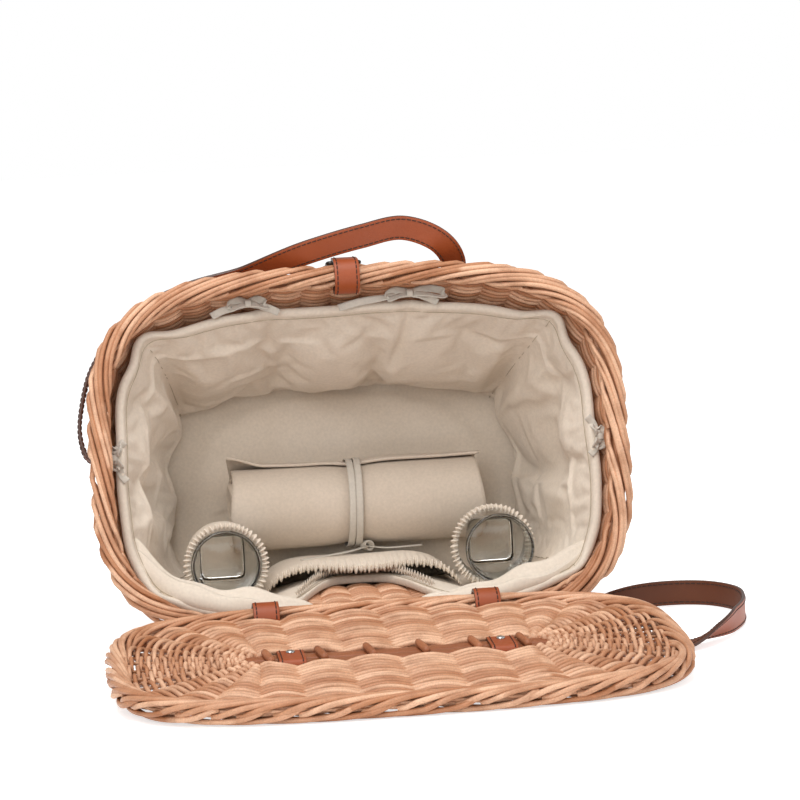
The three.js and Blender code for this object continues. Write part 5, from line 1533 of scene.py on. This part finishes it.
TIE_Z, TIE_IN = LINING_TOP + 3.5, 8.5
half_x, half_y = wall_half(TIE_Z, -TIE_IN)
front_left, front_right = ((x, edge(x, half_x, half_y), TIE_Z) for x in TIE_FRONT_X)
bow("tie_front_left", np.array(front_left), (1, 0, 0), (0, -1, 0), (-15, 14), (-30, 24))
bow("tie_front_right", np.array(front_right), (1, 0, 0), (0, -1, 0), (-18, 28), (-58, 22))
half_x, half_y = wall_half(TIE_Z, -TIE_IN + 1.5)
bow("tie_left", np.array([-edge(7, half_y, half_x), 7, TIE_Z]), (0, 1, 0), (1, 0, 0), (-8, 9), (-19, 13))
bow("tie_right", np.array([edge(1, half_y, half_x), 1, TIE_Z]), (0, 1, 0), (-1, 0, 0), (-8, 8), (-14, 17))
print("bows: 4")

# %% [markdown]
# ## Metal: buckle and rivets
# The buckle is bent from gunmetal wire with a roller on its far bar. Rivets are chromed domes, each
# spun from its half section.

# %% Gunmetal and chrome


def metal_finish(name, light, dark, rough):
    material, tree, shader = new_finish(name)
    place = add(tree, "TexCoord")
    # Handling leaves soft smears about 4 mm across.
    smears = add(tree, "TexNoise", {"Vector": place.outputs["Object"], "Scale": 250, "Detail": 4})
    tone = add(tree, "Mix", {0: smears.outputs[0], 6: linear(dark), 7: linear(light)}, data_type="RGBA")
    tree.links.new(tone.outputs[2], shader.inputs["Base Color"])
    worn = add(tree, "MapRange", {0: smears.outputs[0], 3: rough * 0.7, 4: rough * 1.4})
    tree.links.new(worn.outputs[0], shader.inputs["Roughness"])
    shader.inputs["Metallic"].default_value = 1.0
    return material


GUNMETAL = metal_finish("steel wire, gunmetal plated", "#5d5854", "#3d3936", 0.3)
CHROME = metal_finish("brass, chrome plated and polished", "#d3d4d3", "#b9bab9", 0.12)
for node in ("buckle_prong", "buckle_roller"):
    carried = frame["nodes"][node]
    carried.data.materials.clear()
    carried.data.materials.append(GUNMETAL)
print("metals:", GUNMETAL.name, "|", CHROME.name)

# %% The buckle's wire
BUCKLE_HALF, BUCKLE_LENGTH, WIRE = 14.5, 22, 1.6
wire_half, wire_low = BUCKLE_HALF - WIRE, -(BUCKLE_LENGTH - 2 * WIRE)
bend_r = 2.4
path = []
wire_corners = [(wire_half, 0, 0), (-wire_half, 0, 90)]
wire_corners += [(-wire_half, wire_low, 180), (wire_half, wire_low, 270)]
for x, z, first in wire_corners:
    turn = np.radians(first + np.linspace(0, 90, 7))
    cx, cz = x - math.copysign(bend_r, x), (z - bend_r) if z == 0 else (z + bend_r)
    path.append(np.column_stack([cx + bend_r * np.cos(turn), 0 * turn, cz + bend_r * np.sin(turn)]))
wire = np.vstack(path) + (CLOSER_X, BAR_Y, BAR_Z)
wire_mesh = rod_mesh("buckle_wire", [(wire, WIRE, True)], BASKET, 3)
finish_piece("buckle_wire", wire_mesh, GUNMETAL, "buckle", "gunmetal", "buckle_frame")

# %% Rivets
RIVET_R = 3.4
# The half section of a head: share of its radius, and height in mm.
RIVET_SECTION = [(1, 0), (1, 0.35), (0.97, 0.6), (0.86, 1.05), (0.62, 1.5), (0.32, 1.74), (0, 1.8)]


def rivet(name, foot, look, body, axes):
    """A domed head spun from its half section and set on its foot, looking along a direction."""
    bm = bmesh.new()
    points = [bm.verts.new((share * RIVET_R * MM, 0, z * MM)) for share, z in RIVET_SECTION]
    lines = [bm.edges.new(pair) for pair in zip(points, points[1:])]
    bmesh.ops.spin(
        bm, geom=points + lines, cent=(0, 0, 0), axis=(0, 0, 1), angle=2 * math.pi, steps=24, use_merge=True
    )
    bmesh.ops.remove_doubles(bm, verts=bm.verts, dist=1e-6)
    bmesh.ops.holes_fill(bm, edges=[e for e in bm.edges if e.is_boundary])
    bmesh.ops.recalc_face_normals(bm, faces=bm.faces)
    turn = Vector(axes[:3, :3] @ look).to_track_quat("Z", "Y").to_matrix().to_4x4()
    bmesh.ops.transform(bm, matrix=Matrix.Translation(Vector(placed(foot, axes) * MM)) @ turn, verts=bm.verts)
    mesh = mesh_of_bmesh(name + "_head", bm)
    return finish_piece(name + "_head", mesh, CHROME, body, "rivet", name)


flare = math.atan2(RIM_HALF_Y - BASE_HALF_Y, RIM_Z - FOOT_Z)
rivet_z = HANDLE_FOOT_Z + STRAP_WIDTH / 2
for wall, face in (("front", 1), ("rear", -1)):
    for hand, sign in (("left", -1), ("right", 1)):
        x, y, z = front_point(sign * HANDLE_X, rivet_z, HANDLE_OUT + HANDLE_THICK / 2 + 0.2)
        look = np.array([0, face * math.cos(flare), -math.sin(flare)])
        rivet(f"{wall}_rivet_{hand}", (x, face * y, z), look, "basket", BASKET)
for hand, sign in (("left", -1), ("right", 1)):
    foot = (sign * TAB_X, LID_MIDDLE_Y - 7, TAB_LOW - 0.1)
    rivet(f"tab_rivet_{hand}", foot, np.array([0.0, 0.0, -1.0]), "lid", LID)
print("rivets: 6")

# %% [markdown]
# ## Laths and rungs of the lid
# Two split laths fill the lid's core, and short rungs lie across them. They are older, browner wood
# than the rods. A box with eased edges makes a lath; a rung is a rod, thick in its middle.

# %% Brown split wood
LATH = [
    willow_finish("split willow lath, shaved and stained", "#b5714a", "#9a5a36", "#7c4326"),
    willow_finish("split lath, cut across", "#c99469", "#b27a4e", "#95623c"),
]
CORE_LENGTH, CORE_WIDTH = 120, 14


def lath(name, low, high, node):
    bm = bmesh.new()
    bmesh.ops.create_cube(bm, size=1)
    low, high = np.array(low, float), np.array(high, float)
    bmesh.ops.scale(bm, vec=Vector((high - low) * MM), verts=bm.verts)
    bmesh.ops.subdivide_edges(bm, edges=[e for e in bm.edges if e.calc_length() > 0.1], cuts=23)
    sharp = [e for e in bm.edges if e.calc_face_angle(0) > 0.5]
    bmesh.ops.bevel(
        bm, geom=sharp, offset=1.6 * MM, affect="EDGES", segments=3, profile=0.5, material=-1
    )
    for vertex in bm.verts:
        vertex.co.z += 0.35 * MM * math.sin(vertex.co.x / MM / 26 + low[1])
    seat = LID.copy()
    seat[:3, 3] = placed((low + high) / 2, LID) * MM
    bmesh.ops.transform(bm, matrix=Matrix(seat.tolist()), verts=bm.verts)
    mesh = mesh_of_bmesh(name, bm)
    return finish_piece(name, mesh, LATH, "lid", "willow_core", node)


LATH_HIGH = 4.9
near_y = (LID_MIDDLE_Y - CORE_WIDTH + 0.4, LID_MIDDLE_Y - 0.2)
far_y = (LID_MIDDLE_Y + 0.2, LID_MIDDLE_Y + CORE_WIDTH - 0.4)
for name, (low_y, high_y) in (("near", near_y), ("far", far_y)):
    low, high = (-CORE_LENGTH, low_y, LATH_LOW), (CORE_LENGTH, high_y, LATH_HIGH)
    lath(f"lath_{name}", low, high, f"lid_lath_{name}")
for number, x in enumerate(STICKS_X):
    name = f"rung_{number + 1}"
    y = np.linspace(-CORE_WIDTH + 0.5, CORE_WIDTH - 0.5, 9)
    slant = 0.12 * y + 1.2 * np.sin(number * 2.1)
    rung_line = np.column_stack([x + slant, LID_MIDDLE_Y + y, -4.7 - 0.3 * np.cos(y / 9)])
    thick = 2.5 + 0.5 * np.cos(y / CORE_WIDTH * 1.4)
    rung_mesh = rod_mesh(name, [(rung_line, thick, False)], LID, 3)
    finish_piece(name, rung_mesh, LATH, "lid", "willow_core", f"lid_{name}")

# %% [markdown]
# ## Floor, light and camera
# The photograph is a cut-out on white under broad soft light. The camera was found by fitting the
# basket's rim and the lid's outline, seen in perspective from about 2.5 m away.

# %% Floor and world
floor_material, tree, shader = new_finish("white studio paper")
shader.inputs["Base Color"].default_value = linear("#f4f4f4")
shader.inputs["Roughness"].default_value = 0.9
shader.inputs["Emission Color"].default_value = (1, 1, 1, 1)
# The floor glows only for what looks at it, so that it reads as white paper and still takes a shadow.
ray = add(tree, "LightPath").outputs
seen = add(tree, "Math", {0: ray["Is Camera Ray"], 1: ray["Is Glossy Ray"]}, operation="MAXIMUM")
seen_through = add(tree, "Math", {0: seen.outputs[0], 1: ray["Is Transmission Ray"]}, operation="MAXIMUM")
glow = add(tree, "Math", {0: seen_through.outputs[0], 1: 0.62}, operation="MULTIPLY")
tree.links.new(glow.outputs[0], shader.inputs["Emission Strength"])
bm = bmesh.new()
bmesh.ops.create_circle(bm, cap_ends=True, segments=64, radius=12)
floor_mesh = mesh_of_bmesh("floor", bm)
floor_mesh.materials.append(floor_material)
floor = link("floor", floor_mesh)
floor.location.z = -0.0005

world = bpy.data.worlds.new("studio")
bpy.context.scene.world = world
world.use_nodes = True
tree = world.node_tree
background = tree.nodes["Background"]
background.inputs["Color"].default_value = (1, 1, 1, 1)
ray = add(tree, "LightPath").outputs
seen = add(tree, "Math", {0: ray["Is Camera Ray"], 1: ray["Is Transmission Ray"]}, operation="MAXIMUM")
level = add(tree, "MapRange", {0: seen.outputs[0], 3: 0.5, 4: 1.0})
tree.links.new(level.outputs[0], background.inputs["Strength"])
print("stage:", floor.name, world.name)

# %% Lamps


def soft_lamp(name, place, aim, size, power):
    lamp = bpy.data.lights.new(name, "AREA")
    lamp.shape = "DISK"
    lamp.size = size
    lamp.energy = power
    made = link(name, lamp)
    made.location = place
    made.rotation_euler = (Vector(aim) - Vector(place)).to_track_quat("-Z", "Y").to_euler()
    return made


soft_lamp("overhead", (-0.3, -0.5, 1.9), (0, 0.0, 0.1), 1.4, 24)
soft_lamp("front", (-0.9, -2.3, 1.1), (0, 0.1, 0.1), 1.6, 22)
soft_lamp("side", (1.8, -1.0, 0.9), (0, 0.0, 0.1), 1.2, 8)
print("lamps:", len(bpy.data.lights))

# %% Camera
VIEW_TURN, VIEW_DOWN, VIEW_ROLL = (math.radians(a) for a in (-6.449, 6.016, -2.699))
FOCAL_PX, FRAME_PX = 3222.8, 800
level = math.cos(VIEW_DOWN)
forward = Vector((-math.sin(VIEW_TURN) * level, math.cos(VIEW_TURN) * level, -math.sin(VIEW_DOWN)))
right = Vector((math.cos(VIEW_TURN), math.sin(VIEW_TURN), 0))
up = right.cross(forward)
rolled_right = right * math.cos(VIEW_ROLL) + up * math.sin(VIEW_ROLL)
rolled_up = up * math.cos(VIEW_ROLL) - right * math.sin(VIEW_ROLL)
camera_data = bpy.data.cameras.new("camera")
camera_data.sensor_width = 36
camera_data.lens = FOCAL_PX / FRAME_PX * camera_data.sensor_width
camera_data.clip_end = 60
camera = link("camera", camera_data)
turn = Matrix((rolled_right, rolled_up, -forward)).transposed().to_4x4()
CAMERA_AT = (-289.4, -2452.8, 451.7)
camera.matrix_world = Matrix.Translation(Vector(CAMERA_AT) * MM) @ turn
bpy.context.scene.camera = camera
bpy.context.scene.view_settings.view_transform = "Standard"
print("camera lens, mm:", round(camera_data.lens, 1))
